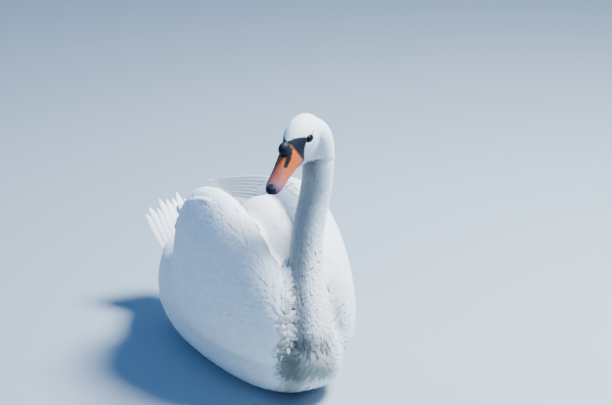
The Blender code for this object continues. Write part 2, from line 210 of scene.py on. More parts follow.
# The bunch of long flight feathers on each wing: its root and the way it points.
PRIMARY_ROOTS = {"wing_left": (0.108, 0.050, 0.318), "wing_right": (-0.112, 0.045, 0.268)}
PRIMARY_WAYS = {"wing_left": (-0.37, 0.91, -0.15), "wing_right": (0.30, 0.93, -0.14)}
PRIMARY_STUB = {"wing_left": 0.125, "wing_right": 0.100}


def to_head(points):
    """Points in the head's own frame: it looks along -Y from between the eyes."""
    return (points - HEAD_PLACE) @ HEAD_TURN


def from_head(points):
    """Places in the head's own frame, as points of the scene."""
    return np.asarray(points) @ HEAD_TURN.T + HEAD_PLACE


def smooth_step(value, low, high):
    """From 0 at the low value to 1 at the high one, with soft ends."""
    share = np.clip((value - low) / (high - low), 0.0, 1.0)
    return share * share * (3 - 2 * share)


def swelling(value, middle, width):
    """1 at the middle, and softly less on both sides of it."""
    return np.exp(-(((value - middle) / width) ** 2))


def merged_copy(*names):
    """A bmesh of these solids, with their loose corners merged."""
    data = bmesh.new()
    for name in names:
        data.from_mesh(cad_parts[name].data)
    bmesh.ops.remove_doubles(data, verts=data.verts, dist=1e-5)
    return data


def soften(data, verts, rounds):
    """Evens out these corners of a surface."""
    for _ in range(rounds):
        bmesh.ops.smooth_vert(
            data, verts=verts, factor=0.5, use_axis_x=True, use_axis_y=True, use_axis_z=True
        )


def swell(data, distance):
    """Moves a surface out along its normals, or in, but leaves the head as it is."""
    data.normal_update()
    shares = smooth_step(np.linalg.norm(to_head(places_of(data)), axis=1), *SWELL_START)
    for vertex, share in zip(data.verts, shares.tolist()):
        vertex.co += vertex.normal * distance * share


def remeshed(data, voxel, smoothing):
    """An even, closed mesh of a bmesh's shape."""
    holder = mesh_object("holder", data, floor_paint)
    change = holder.modifiers.new("even", "REMESH")
    change.mode = "VOXEL"
    change.voxel_size = voxel
    graph = bpy.context.evaluated_depsgraph_get()
    mesh = bpy.data.meshes.new_from_object(holder.evaluated_get(graph), depsgraph=graph)
    bpy.data.objects.remove(holder, do_unlink=True)
    even = bmesh.new()
    even.from_mesh(mesh)
    soften(even, even.verts, smoothing)
    return even


def places_of(data):
    return np.array([vertex.co for vertex in data.verts])


# The bare face's rear edge and the horn's rear edge, as heights and places forward of the eyes,
# the corner of the gape with the slope of the gape in front of it, and its black edge's width.
BARE_REAR = ((-0.018, -0.004, 0.004, 0.0116, 0.0150), (0.0263, 0.0246, 0.0215, 0.0150, 0.0070))
HORN_REAR = ((-0.0196, -0.0026, 0.008, 0.016, 0.022), (0.0290, 0.0348, 0.0366, 0.0372, 0.0363))
GAPE = (0.029, -0.0215)
GAPE_SLOPE = 0.95
GAPE_EDGE = 0.0062
# The bare face's upper edge: a point of it, its slope, and its arch on the head's left and right.
BARE_TOP = (0.004, 0.0190)
BARE_TOP_SLOPE = 0.28
BARE_TOP_ARCH = (0.0054, 0.0020)
BARE_ARCH_START, BARE_ARCH_SPAN = 0.002, 0.034
BARE_FRONT, BARE_SIDE = 0.07, 0.04


def gape_height(forward):
    return GAPE[1] - GAPE_SLOPE * np.maximum(forward - GAPE[0], 0.0)


def horn_side(points):
    """How much a point lies on the orange side of the horn, from 0 to 1."""
    local = to_head(points)
    forward, height = -local[:, 1], local[:, 2]
    gape = gape_height(forward) + GAPE_EDGE
    inside = np.minimum(forward - np.interp(height, *HORN_REAR), height - gape)
    return smooth_step(inside, -0.0006, 0.0006)


def bare_face(points):
    """How much a point of the head belongs to the bare black skin, from 0 to 1. Its upper edge
    runs from the eye to the top of the knob, and its rear edge from the eye down to the gape."""
    local = to_head(points)
    forward, height = -local[:, 1], local[:, 2]
    arch = np.where(local[:, 0] > 0, *BARE_TOP_ARCH)
    arch = arch * np.sin((forward - BARE_ARCH_START) * pi / BARE_ARCH_SPAN)
    top = BARE_TOP[1] + BARE_TOP_SLOPE * (forward - BARE_TOP[0]) + arch
    rear = np.interp(height, *BARE_REAR)
    inside = np.minimum(top - height, forward - rear)
    inside = np.minimum(inside, height - gape_height(forward))
    within = (forward < BARE_FRONT) * (np.abs(local[:, 0]) < BARE_SIDE)
    return smooth_step(inside, -0.0004, 0.0010) * within


solid_points, solid_faces, solid_nodes = [], [], []
for name in FLESH:
    flesh = merged_copy(name)
    base = len(solid_points)
    solid_points += [vertex.co.copy() for vertex in flesh.verts]
    solid_faces += [[base + vertex.index for vertex in face.verts] for face in flesh.faces]
    solid_nodes += [name] * len(flesh.faces)
    flesh.free()
solid_tree = BVHTree.FromPolygons(solid_points, solid_faces)


def nearest_nodes(points):
    """The solid of flesh that each point lies on."""
    return [solid_nodes[solid_tree.find_nearest(Vector(point))[2]] for point in points]


# The solids are joined, without the bunch of long feathers on each wing, and their clefts bridged.
body = merged_copy("trunk", "neck_lower", "neck_upper", "head")
for name in ("wing_left", "wing_right"):
    wing = merged_copy(name)
    way = Vector(PRIMARY_WAYS[name]).normalized()
    cut = bmesh.ops.bisect_plane(
        wing,
        geom=wing.verts[:] + wing.edges[:] + wing.faces[:],
        plane_co=Vector(PRIMARY_ROOTS[name]) + way * PRIMARY_STUB[name],
        plane_no=way,
        clear_outer=True,
    )
    edges = [part for part in cut["geom_cut"] if isinstance(part, bmesh.types.BMEdge)]
    bmesh.ops.edgeloop_fill(wing, edges=edges)
    holder = bpy.data.meshes.new("holder")
    wing.to_mesh(holder)
    wing.free()
    body.from_mesh(holder)

for place, radii in UNDERWING_MOUNDS:
    spread = Matrix.Translation(place) @ Matrix.Diagonal((*radii, 1.0))
    bmesh.ops.create_uvsphere(body, u_segments=32, v_segments=20, radius=1.0, matrix=spread)

skin_data = remeshed(body, SKIN_VOXEL, 1)
swell(skin_data, CREVICE)
skin_data = remeshed(skin_data, SKIN_VOXEL, 1)
swell(skin_data, -CREVICE)
skin_data = remeshed(skin_data, SKIN_VOXEL, SKIN_SMOOTHING)

# Only the outer surface stays: bubbles left inside it go.
main_surface, front = set(), [max(skin_data.verts, key=lambda vertex: vertex.co.z)]
while front:
    vertex = front.pop()
    if vertex not in main_surface:
        main_surface.add(vertex)
        front += [edge.other_vert(vertex) for edge in vertex.link_edges]
bubbles = [vertex for vertex in skin_data.verts if vertex not in main_surface]
bmesh.ops.delete(skin_data, geom=bubbles, context="VERTS")
skin_data.verts.index_update()
skin_data.verts.ensure_lookup_table()

# The head has a finer mesh, finest round the eyes, and a finer form.
for reach in FINE_REACHES:
    local = to_head(places_of(skin_data))
    near = np.linalg.norm(local * (1.0, 0.9, 1.0), axis=1) < reach
    faces = [f for f in skin_data.faces if all(near[v.index] for v in f.verts)]
    edges = list({edge for face in faces for edge in face.edges})
    bmesh.ops.subdivide_edges(skin_data, edges=edges, cuts=1, use_grid_fill=True, smooth=0.4)
    skin_data.verts.index_update()
local = to_head(places_of(skin_data))
round_eye = np.zeros(len(local), bool)
for side in (1, -1):
    from_eye = np.linalg.norm(local - (side * EYE_PLACE[0], *EYE_PLACE[1:]), axis=1)
    round_eye |= from_eye < EYE_SURROUND
faces = [f for f in skin_data.faces if all(round_eye[v.index] for v in f.verts)]
edges = list({edge for face in faces for edge in face.edges})
bmesh.ops.subdivide_edges(skin_data, edges=edges, cuts=1, use_grid_fill=True, smooth=0.0)
skin_data.verts.index_update()
skin_data.verts.ensure_lookup_table()
head_form = remeshed(merged_copy("head", "neck_upper"), HEAD_VOXEL, HEAD_SMOOTHING)
head_surface = BVHTree.FromBMesh(head_form)
head_form.free()
distances = np.linalg.norm(to_head(places_of(skin_data)), axis=1)
for vertex, share in zip(skin_data.verts, (1 - smooth_step(distances, *HEAD_BLEND)).tolist()):
    if share > 0:
        vertex.co = vertex.co.lerp(head_surface.find_nearest(vertex.co)[0], share)
near = [vertex for vertex, gap in zip(skin_data.verts, distances) if gap < HEAD_SOFTENED]
soften(skin_data, near, 2)
skin_data.normal_update()

# The skin lies a coat's depth inside the solids, and deeper under the bill and in the jaw's fold.
skin_places = places_of(skin_data)
skin_normals = np.array([vertex.normal for vertex in skin_data.verts])
depths = np.array([COAT_DEPTH[name] for name in nearest_nodes(skin_places)])
for _ in range(DEPTH_SMOOTHING):
    spread = depths.copy()
    for edge in skin_data.edges:
        a, b = edge.verts[0].index, edge.verts[1].index
        spread[a] += depths[b]
        spread[b] += depths[a]
    counts = np.array([len(vertex.link_edges) + 1 for vertex in skin_data.verts])
    depths = spread / counts
local = to_head(skin_places)
coat_depths = depths.copy()
depths += BILL_SEAT * smooth_step(-local[:, 1], 0.036, 0.046) * (local[:, 2] > -0.05)
under = smooth_step(np.abs(local[:, 0]), *JAW_SIDE) * smooth_step(local[:, 1], *JAW_FRONT)
under *= 1 - smooth_step(local[:, 1], *JAW_REAR)
for depth, height, width in JAW_FORMS:
    depths += depth * under * swelling(local[:, 2], height, width)
skin_places = skin_places - skin_normals * depths[:, None]


def from_lids(local, side):
    """Places seen from the middle of one eye, and how far out in the lids' opening they lie, where
    1 is its edge."""
    away = local - (side * EYE_PLACE[0], EYE_PLACE[1], EYE_PLACE[2])
    return away, np.hypot(away[:, 1] / LID_OPENING[0], away[:, 2] / LID_OPENING[1])


# The lids stand round each eyeball as a low rim, and the skin inside the opening drops behind it.
local = to_head(skin_places)
for side in (1, -1):
    middle = np.array((side * EYE_PLACE[0], EYE_PLACE[1], EYE_PLACE[2]))
    away, across = from_lids(local, side)
    distance = np.linalg.norm(away, axis=1)
    outside = side * local[:, 0] > EYE_SIDE
    rim = EYE_RADIUS + LID_RIM[0] * swelling(across, *LID_RIM[1:]) + LID_CLEARANCE
    covers = outside & (across >= LID_EDGE) & (distance < rim)
    local[covers] = middle + away[covers] * (rim / distance)[covers][:, None]
    opening = outside & (across < LID_EDGE)
    proud = opening & (side * local[:, 0] > side * middle[0] - SOCKET_DEPTH)
    local[proud, 0] = middle[0] - side * SOCKET_DEPTH
    brow = swelling(across, *BROW[1:]) * outside * (distance < BROW_REACH)
    local[:, 0] += side * BROW[0] * brow * np.where(away[:, 2] > 0, 1.0, CHEEK_SHARE)
skin_places = from_head(local)
for vertex, place in zip(skin_data.verts, skin_places):
    vertex.co = place
    vertex.co.z = max(vertex.co.z, BELLY_CLEARANCE)

skin_paint, skin_tree, skin_shader = new_material("down_and_bare_skin", (0.80, 0.82, 0.84), 0.7)
skin = mesh_object("skin", skin_data, skin_paint)
skin.data.name = "skin"


def paint_points(item, name, colours):
    """Keeps a colour for each point of a piece."""
    layer = item.data.color_attributes.new(name, "FLOAT_COLOR", "POINT")
    full = np.ones((len(colours), 4), np.float32)
    full[:, :3] = colours
    layer.data.foreach_set("color", full.ravel())


FEATHER_WHITE = (0.86, 0.875, 0.885)
DOWN_SHARE = 0.96  # how bright the down on the skin is beside the feathers
# How much of the white the painted shade on the neck, the wet at its foot and the line of the water take
# away.
NECK_PAINTED_SHADE, WET_GREY, WATERLINE_GREY = (0.60, 0.61, 0.63), (0.58, 0.56, 0.61), (0.07, 0.06, 0.09)
NECK_REACH = 0.046  # of the neck's colours from its axis
FOOT_FLARE = 0.034  # how much further they reach at its foot
JAW_LINE = (0.0440, 0.0500)  # how far under the head's middle they begin
# The neck's grey is painted shade, and painted shadow under the chin.
SHADE_EDGE_SHARE = 0.35  # how much lighter the grey is at the neck's edge
CHIN_SHADOW_SHARE = 0.25  # how much darker it is under the chin
WATERLINE = (0.092, 0.014)  # height and width
# The painted shadow in the crease behind each eye: its length, where it starts, its rise, width and
# darkness.
CREASE_LENGTH, CREASE_START, CREASE_RISE, CREASE_WIDTH, CREASE_SHADE = 0.009, 0.0160, 0.0036, 0.0014, 0.80
BARE_BLACK, BARE_ORANGE = np.array((0.007, 0.011, 0.020)), np.array((0.54, 0.140, 0.034))
LID_BLACK = np.array((0.007, 0.008, 0.012))
LID_BLACK_END = (1.45, 1.65)  # as shares of the lids' opening


def neck_colours(points, local):
    """How much of the white the neck's colours leave: painted shade on its side away from the key lamp,
    from the jaw down, deeper as painted shadow under the chin, and a wet stain, darker, where it meets the
    water."""
    axis = [np.interp(points[:, 2], NECK_AXIS[:, 2], column) for column in NECK_AXIS.T[:2]]
    off_x, off_y = points[:, 0] - axis[0], points[:, 1] - axis[1]
    across = off_x * NECK_SHADE_ACROSS[0] + off_y * NECK_SHADE_ACROSS[1]
    reach = NECK_REACH + FOOT_FLARE * (1 - smooth_step(points[:, 2], 0.12, 0.25))
    neck = 1 - smooth_step(np.hypot(off_x, off_y) - reach, 0.0, 0.012)
    neck = neck * (1 - smooth_step(np.abs(across), 0.034, 0.054))
    neck *= smooth_step(-local[:, 2], *JAW_LINE)
    # Painted shade on the neck's side away from the key lamp, lighter at its edge, and painted shadow
    # under the chin.
    grey = neck * smooth_step(-across, -0.016, 0.010)
    grey = grey * (1 - SHADE_EDGE_SHARE * smooth_step(-across, 0.020, 0.040))
    chin = 1 - smooth_step(-local[:, 2], 0.052, 0.078)
    shade = 1.0 - (grey * (1 + CHIN_SHADOW_SHARE * chin))[:, None] * np.array(NECK_PAINTED_SHADE)
    wet = neck * smooth_step(-points[:, 2], -0.225, -0.115)
    wet *= smooth_step(points[:, 2], 0.070, 0.088)
    return shade, 1.0 - wet[:, None] * np.array(WET_GREY)


def coat_colour(points):
    """The plumage's colour: white, with painted shade on one side of the neck and painted shadow under the
    chin, a wet stain at the neck's foot, a faint line where the water stands, and a painted shadow in the
    crease behind each eye."""
    colour = np.tile(FEATHER_WHITE, (len(points), 1))
    local = to_head(points)
    shade, stain = neck_colours(points, local)
    line = swelling(points[:, 2], *WATERLINE)
    water = 1.0 - line[:, None] * np.array(WATERLINE_GREY)
    side = np.abs(local[:, 0]) > EYE_SIDE
    run = np.clip(local[:, 1] / CREASE_LENGTH, 0.0, 1.0)
    off = np.hypot(local[:, 1] - CREASE_LENGTH * run, local[:, 2] - CREASE_START - CREASE_RISE * run)
    # Painted shadow in the crease behind each eye.
    crease = 1.0 - CREASE_SHADE * (np.exp(-((off / CREASE_WIDTH) ** 2)) * side)[:, None]
    return colour * shade * stain * water * crease


def skin_colour(points):
    """White down under the feathers, and the bare black skin with the horn's orange edge."""
    bare = bare_face(points)[:, None]
    horn = horn_side(points)[:, None]
    face = BARE_BLACK * (1 - horn) + BARE_ORANGE * horn
    return coat_colour(points) * (1 - bare) * DOWN_SHARE + face * bare


skin_places = np.array([vertex.co for vertex in skin.data.vertices])
colours = skin_colour(skin_places)
local = to_head(skin_places)
for side in (1, -1):
    away, across = from_lids(local, side)
    lid = (1 - smooth_step(across, *LID_BLACK_END)) * (side * local[:, 0] > EYE_SIDE)
    colours = colours * (1 - lid[:, None]) + LID_BLACK * lid[:, None]
paint_points(skin, "skin_colour", colours)


def pattern_on(tree, kind, **inputs):
    """A pattern that is fixed to its piece."""
    where = add_node(tree, "ShaderNodeTexCoord")
    return add_node(tree, kind, {"Vector": where.outputs["Object"], **inputs})


def roughen(tree, shader, height, strength, distance):
    """Fine relief on a surface, by the height of a pattern."""
    sizes = {"Height": height, "Strength": strength, "Distance": distance}
    relief = add_node(tree, "ShaderNodeBump", sizes)
    tree.links.new(relief.outputs["Normal"], shader.inputs["Normal"])
    return relief


painted = add_node(skin_tree, "ShaderNodeVertexColor", layer_name="skin_colour")
skin_tree.links.new(painted.outputs["Color"], skin_shader.inputs["Base Color"])
pores = pattern_on(skin_tree, "ShaderNodeTexNoise", Scale=900.0, Detail=3.0, Roughness=0.6)
roughen(skin_tree, skin_shader, pores.outputs["Fac"], 0.35, 0.0006)
skin_shader.inputs["Roughness"].default_value = 0.48
skin_shader.inputs["Specular IOR Level"].default_value = 0.25

bpy.context.view_layer.objects.active = skin
skin.select_set(True)
bpy.ops.object.mode_set(mode="EDIT")
bpy.ops.mesh.select_all(action="SELECT")
bpy.ops.uv.smart_project(angle_limit=radians(66), island_margin=0.001)
bpy.ops.object.mode_set(mode="OBJECT")
skin.data.uv_layers.active.name = "OFBake"
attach(skin, "root")
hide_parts(*FLESH)

# ---------------------------------------------------------------------------------------------
# The contour feathers: thousands of small soft vanes that overlap like tiles and lie along the
# body, smallest on the face and longest on the belly. Each is a thin closed blade, a little arched.
SEED = 11
BAKE_PATCH = 0.003  # each vane's size on the unwrap
VANE_ROOT_SHARE = 0.35  # a root's width beside the vane's full width
TIP_CROWDING = 1.35
chance = np.random.default_rng(SEED)


def vane_template(around, along):
    """A blade's corners as station along it, place across it and height, and its faces."""
    data = bmesh.new()
    bmesh.ops.create_uvsphere(data, u_segments=around, v_segments=along, radius=1.0)
    corners = places_of(data)
    stations = np.rint(np.arccos(np.clip(corners[:, 2], -1, 1)) / pi * along).astype(int)
    rim = np.maximum(np.hypot(corners[:, 0], corners[:, 1]), 1e-6)
    ends = rim < 1e-4
    across = np.where(ends, 0.0, corners[:, 0] / rim)
    height = np.where(ends, 0.0, corners[:, 1] / rim)
    faces = [[vertex.index for vertex in face.verts] for face in data.faces]
    data.free()
    return stations, across, height, faces


def vane_shares(along):
    """How far along a blade its stations stand: nearer together towards the round tip."""
    return 1 - (1 - np.linspace(0, 1, along + 1)) ** TIP_CROWDING


def vane_widths(shares, blunt):
    """Half widths along a blade: a narrow root, a full middle and a round or pointed tip."""
    root = VANE_ROOT_SHARE + (1 - VANE_ROOT_SHARE) * smooth_step(shares, 0.0, 0.35)
    tip = np.sqrt(np.clip(1 - (np.clip(shares - blunt, 0, 1) / (1 - blunt)) ** 2, 0, 1))
    return root * tip


def lay_blades(name, lines, acrosses, normals, widths, thick, cup, colours, roots, material, shape):
    """One mesh of many blades. Lines, acrosses and normals give each blade's stations, and roots
    the place of its root on the skin's unwrap. The shape is its corners round, its stations along
    and where along it the tip begins. Its rim is a sharp edge."""
    around, along, blunt = shape
    stations, across, height, faces = vane_template(around, along)
    count = len(lines)
    shares = vane_shares(along)[stations]
    full = vane_widths(shares, blunt)
    half = widths[:, None] * full[None, :]
    places = lines[:, stations] + acrosses[:, stations] * (half * across[None, :])[:, :, None]
    lift = thick[:, None] * height[None, :] - (cup * widths)[:, None] * (across**2 * full)[None, :]
    places = places + normals[:, stations] * lift[:, :, None]
    places[..., 2] = np.maximum(places[..., 2], 0.0)
    mesh = bpy.data.meshes.new(name)
    sizes = np.array([len(face) for face in faces], np.int32)
    corners = np.concatenate([np.array(face, np.int32) for face in faces])
    per_blade = len(stations)
    mesh.vertices.add(count * per_blade)
    mesh.vertices.foreach_set("co", places.astype(np.float32).ravel())
    offsets = np.arange(count, dtype=np.int32) * per_blade
    all_corners = (offsets[:, None] + corners[None, :]).ravel()
    mesh.loops.add(len(all_corners))
    mesh.loops.foreach_set("vertex_index", all_corners)
    starts = np.concatenate(([0], np.cumsum(np.tile(sizes, count))[:-1])).astype(np.int32)
    mesh.polygons.add(count * len(sizes))
    mesh.polygons.foreach_set("loop_start", starts)
    mesh.update(calc_edges=True)
    mesh.validate()
    mesh.shade_smooth()
    rim = (np.abs(across) > 0.99) | (height == 0.0)
    ends = np.zeros(len(mesh.edges) * 2, np.int32)
    mesh.edges.foreach_get("vertices", ends)
    edge_ends = rim[ends.reshape(-1, 2) % per_blade]
    mesh.edges.foreach_set("use_edge_sharp", edge_ends.all(axis=1))
    bake = mesh.uv_layers.new(name="OFBake")
    patch = np.stack((0.5 * across, shares - 0.5), axis=1) * BAKE_PATCH
    unwrap = (roots[:, None, :] + patch[None, :, :])[:, corners]
    bake.data.foreach_set("uv", unwrap.astype(np.float32).ravel())
    vane = mesh.uv_layers.new(name="vane")
    own = np.tile(np.stack((across, shares), axis=1)[corners], (count, 1))
    vane.data.foreach_set("uv", own.astype(np.float32).ravel())
    mesh.uv_layers.active = bake
    item = bpy.data.objects.new(name, mesh)
    scene.collection.objects.link(item)
    mesh.materials.append(material)
    paint_points(item, "vane_colour", np.repeat(colours, per_blade, axis=0))
    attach(item, "root")
    return item


BARB_SLANT = -0.22


def plumage(name, barbs, depth):
    """White feather: barbs run slantwise from the shaft, and each feather is a shade of white."""
    material, tree, shader = new_material(name, FEATHER_WHITE, 0.62)
    tint = add_node(tree, "ShaderNodeVertexColor", layer_name="vane_colour")
    tree.links.new(tint.outputs["Color"], shader.inputs["Base Color"])
    vane = add_node(tree, "ShaderNodeUVMap", uv_map="vane")
    split = add_node(tree, "ShaderNodeSeparateXYZ", {"Vector": vane.outputs["UV"]})
    out = add_node(tree, "ShaderNodeMath", {0: split.outputs["X"]}, operation="ABSOLUTE")
    along = {0: out.outputs[0], 1: BARB_SLANT, 2: split.outputs["Y"]}
    slant = add_node(tree, "ShaderNodeMath", along, operation="MULTIPLY_ADD")
    rows = add_node(tree, "ShaderNodeMath", {0: slant.outputs[0], 1: barbs}, operation="MULTIPLY")
    wave = add_node(tree, "ShaderNodeMath", {0: rows.outputs[0]}, operation="SINE")
    roughen(tree, shader, wave.outputs[0], 0.15, depth)
    shader.inputs["Sheen Weight"].default_value = 0.25
    shader.inputs["Sheen Roughness"].default_value = 0.5
    shader.inputs["Specular IOR Level"].default_value = 0.25
    shader.inputs["Subsurface Weight"].default_value = 0.15
    shader.inputs["Subsurface Radius"].default_value = (1.0, 1.0, 1.0)
    shader.inputs["Subsurface Scale"].default_value = 0.003
    return material


small_vane = plumage("small_feather", 120.0, 0.0002)

skin_mesh = skin.data
skin_mesh.calc_loop_triangles()
triangle_count = len(skin_mesh.loop_triangles)
triangle_corners = np.zeros(triangle_count * 3, np.int32)
skin_mesh.loop_triangles.foreach_get("vertices", triangle_corners)
triangle_corners = triangle_corners.reshape(-1, 3)
triangle_loops = np.zeros(triangle_count * 3, np.int32)
skin_mesh.loop_triangles.foreach_get("loops", triangle_loops)
triangle_loops = triangle_loops.reshape(-1, 3)
skin_unwrap = np.zeros(len(skin_mesh.loops) * 2, np.float32)
skin_mesh.uv_layers["OFBake"].data.foreach_get("uv", skin_unwrap)
skin_unwrap = skin_unwrap.reshape(-1, 2)
corner_places = skin_places[triangle_corners]
sides = np.cross(corner_places[:, 1] - corner_places[:, 0], corner_places[:, 2] - corner_places[:, 0])
triangle_areas = 0.5 * np.linalg.norm(sides, axis=1)
skin_surface = BVHTree.FromPolygons(
    [tuple(place) for place in skin_places], [tuple(corners) for corners in triangle_corners.tolist()]
)


def unit(vectors):
    """These vectors at a length of one."""
    return vectors / np.maximum(np.linalg.norm(vectors, axis=-1, keepdims=True), 1e-9)


middles = corner_places.mean(axis=1)
triangle_nodes = np.array(nearest_nodes(middles))
triangle_normals = unit(sides)
triangle_depths = coat_depths[triangle_corners].mean(axis=1)


# How far apart feathers stand on each part, and how much more or less towards its far end.
BREAST_SPACING, REAR_EXTRA, BELLY_EXTRA = 0.0066, 0.0018, 0.0056
WING_SPACING, WING_REAR_EXTRA, INNER_EXTRA = 0.0060, 0.0012, 0.0022
NECK_SPACING, UPPER_NECK_LESS, NEAR_HEAD_LESS = 0.0052, 0.0012, 0.0008
HEAD_SPACING, FACE_LESS = 0.0034, 0.0014
CROWDING = 0.80  # the least gap, as a share of the spacing
TRIES = 3.0  # places tried for each feather
BELLY_TOP = (-0.075, -0.040)
WING_REAR = (-0.16, 0.06)
HEAD_END = (0.05, 0.12)


def on_inner_face(points, nodes, normals):
    """How much a place on a wing looks in towards the back, from 0 to 1."""
    inward = -normals[:, 0] * np.sign(points[:, 0])
    return smooth_step(inward, 0.0, 0.5) * np.char.startswith(nodes, "wing")


def spacing_at(points, nodes, normals):
    """How far apart feathers stand, in metres."""
    local = to_head(points)
    space = BREAST_SPACING + REAR_EXTRA * smooth_step(points[:, 1], -0.26, -0.12)
    space = space + BELLY_EXTRA * smooth_step(-points[:, 2], *BELLY_TOP)
    rear = smooth_step(points[:, 1], *WING_REAR)
    wing = WING_SPACING + WING_REAR_EXTRA * rear + INNER_EXTRA * on_inner_face(points, nodes, normals)
    space = np.where(np.char.startswith(nodes, "wing"), wing, space)
    near_head = 1 - smooth_step(np.linalg.norm(local, axis=1), *HEAD_END)
    neck = NECK_SPACING - UPPER_NECK_LESS * (nodes == "neck_upper") - NEAR_HEAD_LESS * near_head
    space = np.where(np.char.startswith(nodes, "neck"), neck, space)
    face = smooth_step(-local[:, 1], -0.050, 0.020)
    return np.where(nodes == "head", HEAD_SPACING - FACE_LESS * face, space)


def scatter_roots():
    """Random places on the skin, none nearer to another than the feathers' spacing there."""
    space = spacing_at(middles, triangle_nodes, triangle_normals)
    expected = triangle_areas / space**2 * TRIES
    picks = np.repeat(np.arange(triangle_count), chance.poisson(expected))
    chance.shuffle(picks)
    a, b = chance.random(len(picks)), chance.random(len(picks))
    flip = a + b > 1
    a, b = np.where(flip, 1 - a, a), np.where(flip, 1 - b, b)
    weights = np.stack((1 - a - b, a, b), axis=1)
    points = (corner_places[picks] * weights[:, :, None]).sum(axis=1)
    unwraps = (skin_unwrap[triangle_loops[picks]] * weights[:, :, None]).sum(axis=1)
    nodes, normals = triangle_nodes[picks], triangle_normals[picks]
    space = spacing_at(points, nodes, normals)
    tree = KDTree(len(points))
    for index, point in enumerate(points):
        tree.insert(point, index)
    tree.balance()
    alive = np.ones(len(points), bool)
    for index in range(len(points)):
        if alive[index]:
            for _, other, _ in tree.find_range(points[index], space[index] * CROWDING):
                if other > index:
                    alive[other] = False
    return points[alive], unwraps[alive], nodes[alive], normals[alive], triangle_depths[picks[alive]]


# Where the feathers of the head and of the breast fan out from, and the ways of the others.
FACE_POINT = (0.0, -0.075, -0.012)  # in the head's frame
BREAST_POINT = (0.0, -0.30, 0.16)
BACKWARD, RUMP_LIFT = (0.0, 0.75, -0.10), (0.0, 0.2, 0.45)
OUTER_WING_WAY, OUTER_WING_DROOP = (0.0, 1.0, -0.16), (0.0, 0.0, 0.42)
INNER_WING_WAY, INNER_WING_TURN = (0.0, 1.0, -0.15), (0.30, 0.0, 0.0)


def lie_at(points, nodes, normals):
    """The way feathers point: back over the head, down the neck, and back along the body."""
    local = to_head(points)
    head_way = (local - FACE_POINT) @ HEAD_TURN.T
    gaps = np.linalg.norm(points[:, None, :] - NECK_AXIS[None, :, :], axis=2)
    nearest = np.clip(gaps.argmin(axis=1), 0, len(NECK_AXIS) - 2)
    neck_way = NECK_AXIS[nearest] - NECK_AXIS[nearest + 1]
    trunk_way = unit(points - BREAST_POINT) * 0.5 + BACKWARD
    rump = smooth_step(points[:, 1], 0.16, 0.27)[:, None]
    trunk_way = trunk_way + rump * RUMP_LIFT
    droop = smooth_step(points[:, 1], -0.18, 0.04) * smooth_step(points[:, 2], 0.14, 0.28)
    inner = on_inner_face(points, nodes, normals)[:, None]
    side = np.sign(points[:, 0])[:, None]
    outer_way = np.array(OUTER_WING_WAY) - droop[:, None] * np.array(OUTER_WING_DROOP)
    inner_way = np.array(INNER_WING_WAY) - side * np.array(INNER_WING_TURN)
    wing_way = outer_way * (1 - inner) + inner_way * inner
    back = np.where((nodes == "trunk")[:, None], trunk_way, wing_way)
    back = np.where(np.char.startswith(nodes, "neck")[:, None], neck_way, back)
    to_neck = smooth_step(local[:, 1], 0.020, 0.060)[:, None]
    mixed = unit(head_way) * (1 - to_neck) + unit(neck_way) * to_neck
    back = np.where((nodes == "head")[:, None], mixed, back)
    back = back - normals * (back * normals).sum(axis=1, keepdims=True)
    return unit(back)


LANDING_REACH = 0.75  # a station lands on skin that is nearer than this share of its step
# How much of its own slope and way a blade keeps at each station, and how much it takes up.
OLD_FACE, NEW_FACE, OLD_WAY, NEW_WAY = 0.45, 0.55, 0.8, 0.2


def follow(points, nodes, normals, lengths, turns, shares):
    """Stations of blades that follow the skin. A blade that runs off an edge goes on straight."""
    lines, ways, faces = [points], [], [normals]
    way = lie_at(points, nodes, normals)
    aside = np.cross(normals, way)
    way = unit(way * np.cos(turns)[:, None] + aside * np.sin(turns)[:, None])
    ways.append(way)
    for near, far in zip(shares, shares[1:]):
        steps = lengths * (far - near)
        ahead = lines[-1] + way * steps[:, None]
        landed, surface = ahead.copy(), faces[-1].copy()
        for index, point in enumerate(ahead):
            spot, normal, _, distance = skin_surface.find_nearest(Vector(point))
            close = distance < LANDING_REACH * steps[index]
            if close and normal.dot(Vector(faces[-1][index])) > -0.2:
                landed[index], surface[index] = spot, normal
        bent = unit(faces[-1] * OLD_FACE + surface * NEW_FACE)
        way = way - bent * (way * bent).sum(axis=1, keepdims=True)
        way = unit(unit(way) * OLD_WAY + lie_at(landed, nodes, bent) * NEW_WAY)
        lines.append(landed)
        faces.append(bent)
        ways.append(way)
    return np.stack(lines, axis=1), np.stack(ways, axis=1), np.stack(faces, axis=1)


root_points, root_unwraps, root_nodes, root_normals, root_depths = scatter_roots()

# No feather grows on the bare face, round the eyes or under the bill's root.
EYE_BARE, LIDS_BARE, LIDS_SIDE = 1.7, 1.45, 0.010
BILL_BARE = (0.044, 0.03, 0.05)  # forward of this, within this width and height
local = to_head(root_points)
keep = bare_face(root_points) < 0.35
for side in (1, -1):
    keep &= (from_lids(local, side)[1] > EYE_BARE) | (side * local[:, 0] < LIDS_SIDE)
in_bill = (local[:, 1] < -BILL_BARE[0]) & (np.abs(local[:, 0]) < BILL_BARE[1])
keep &= ~(in_bill & (np.abs(local[:, 2]) < BILL_BARE[2]))
root_points, root_unwraps, root_nodes = root_points[keep], root_unwraps[keep], root_nodes[keep]
root_normals, root_depths = root_normals[keep], root_depths[keep]

# Length, half width and scatter of the feathers of each region.
REGIONS = {
    "head": (0.0078, 0.0021, 0.09),
    "neck_upper": (0.0140, 0.0033, 0.09),
    "neck_lower": (0.0190, 0.0038, 0.10),
    "trunk": (0.0420, 0.0082, 0.10),
    "wing_left": (0.0340, 0.0073, 0.08),
    "wing_right": (0.0340, 0.0073, 0.08),
}
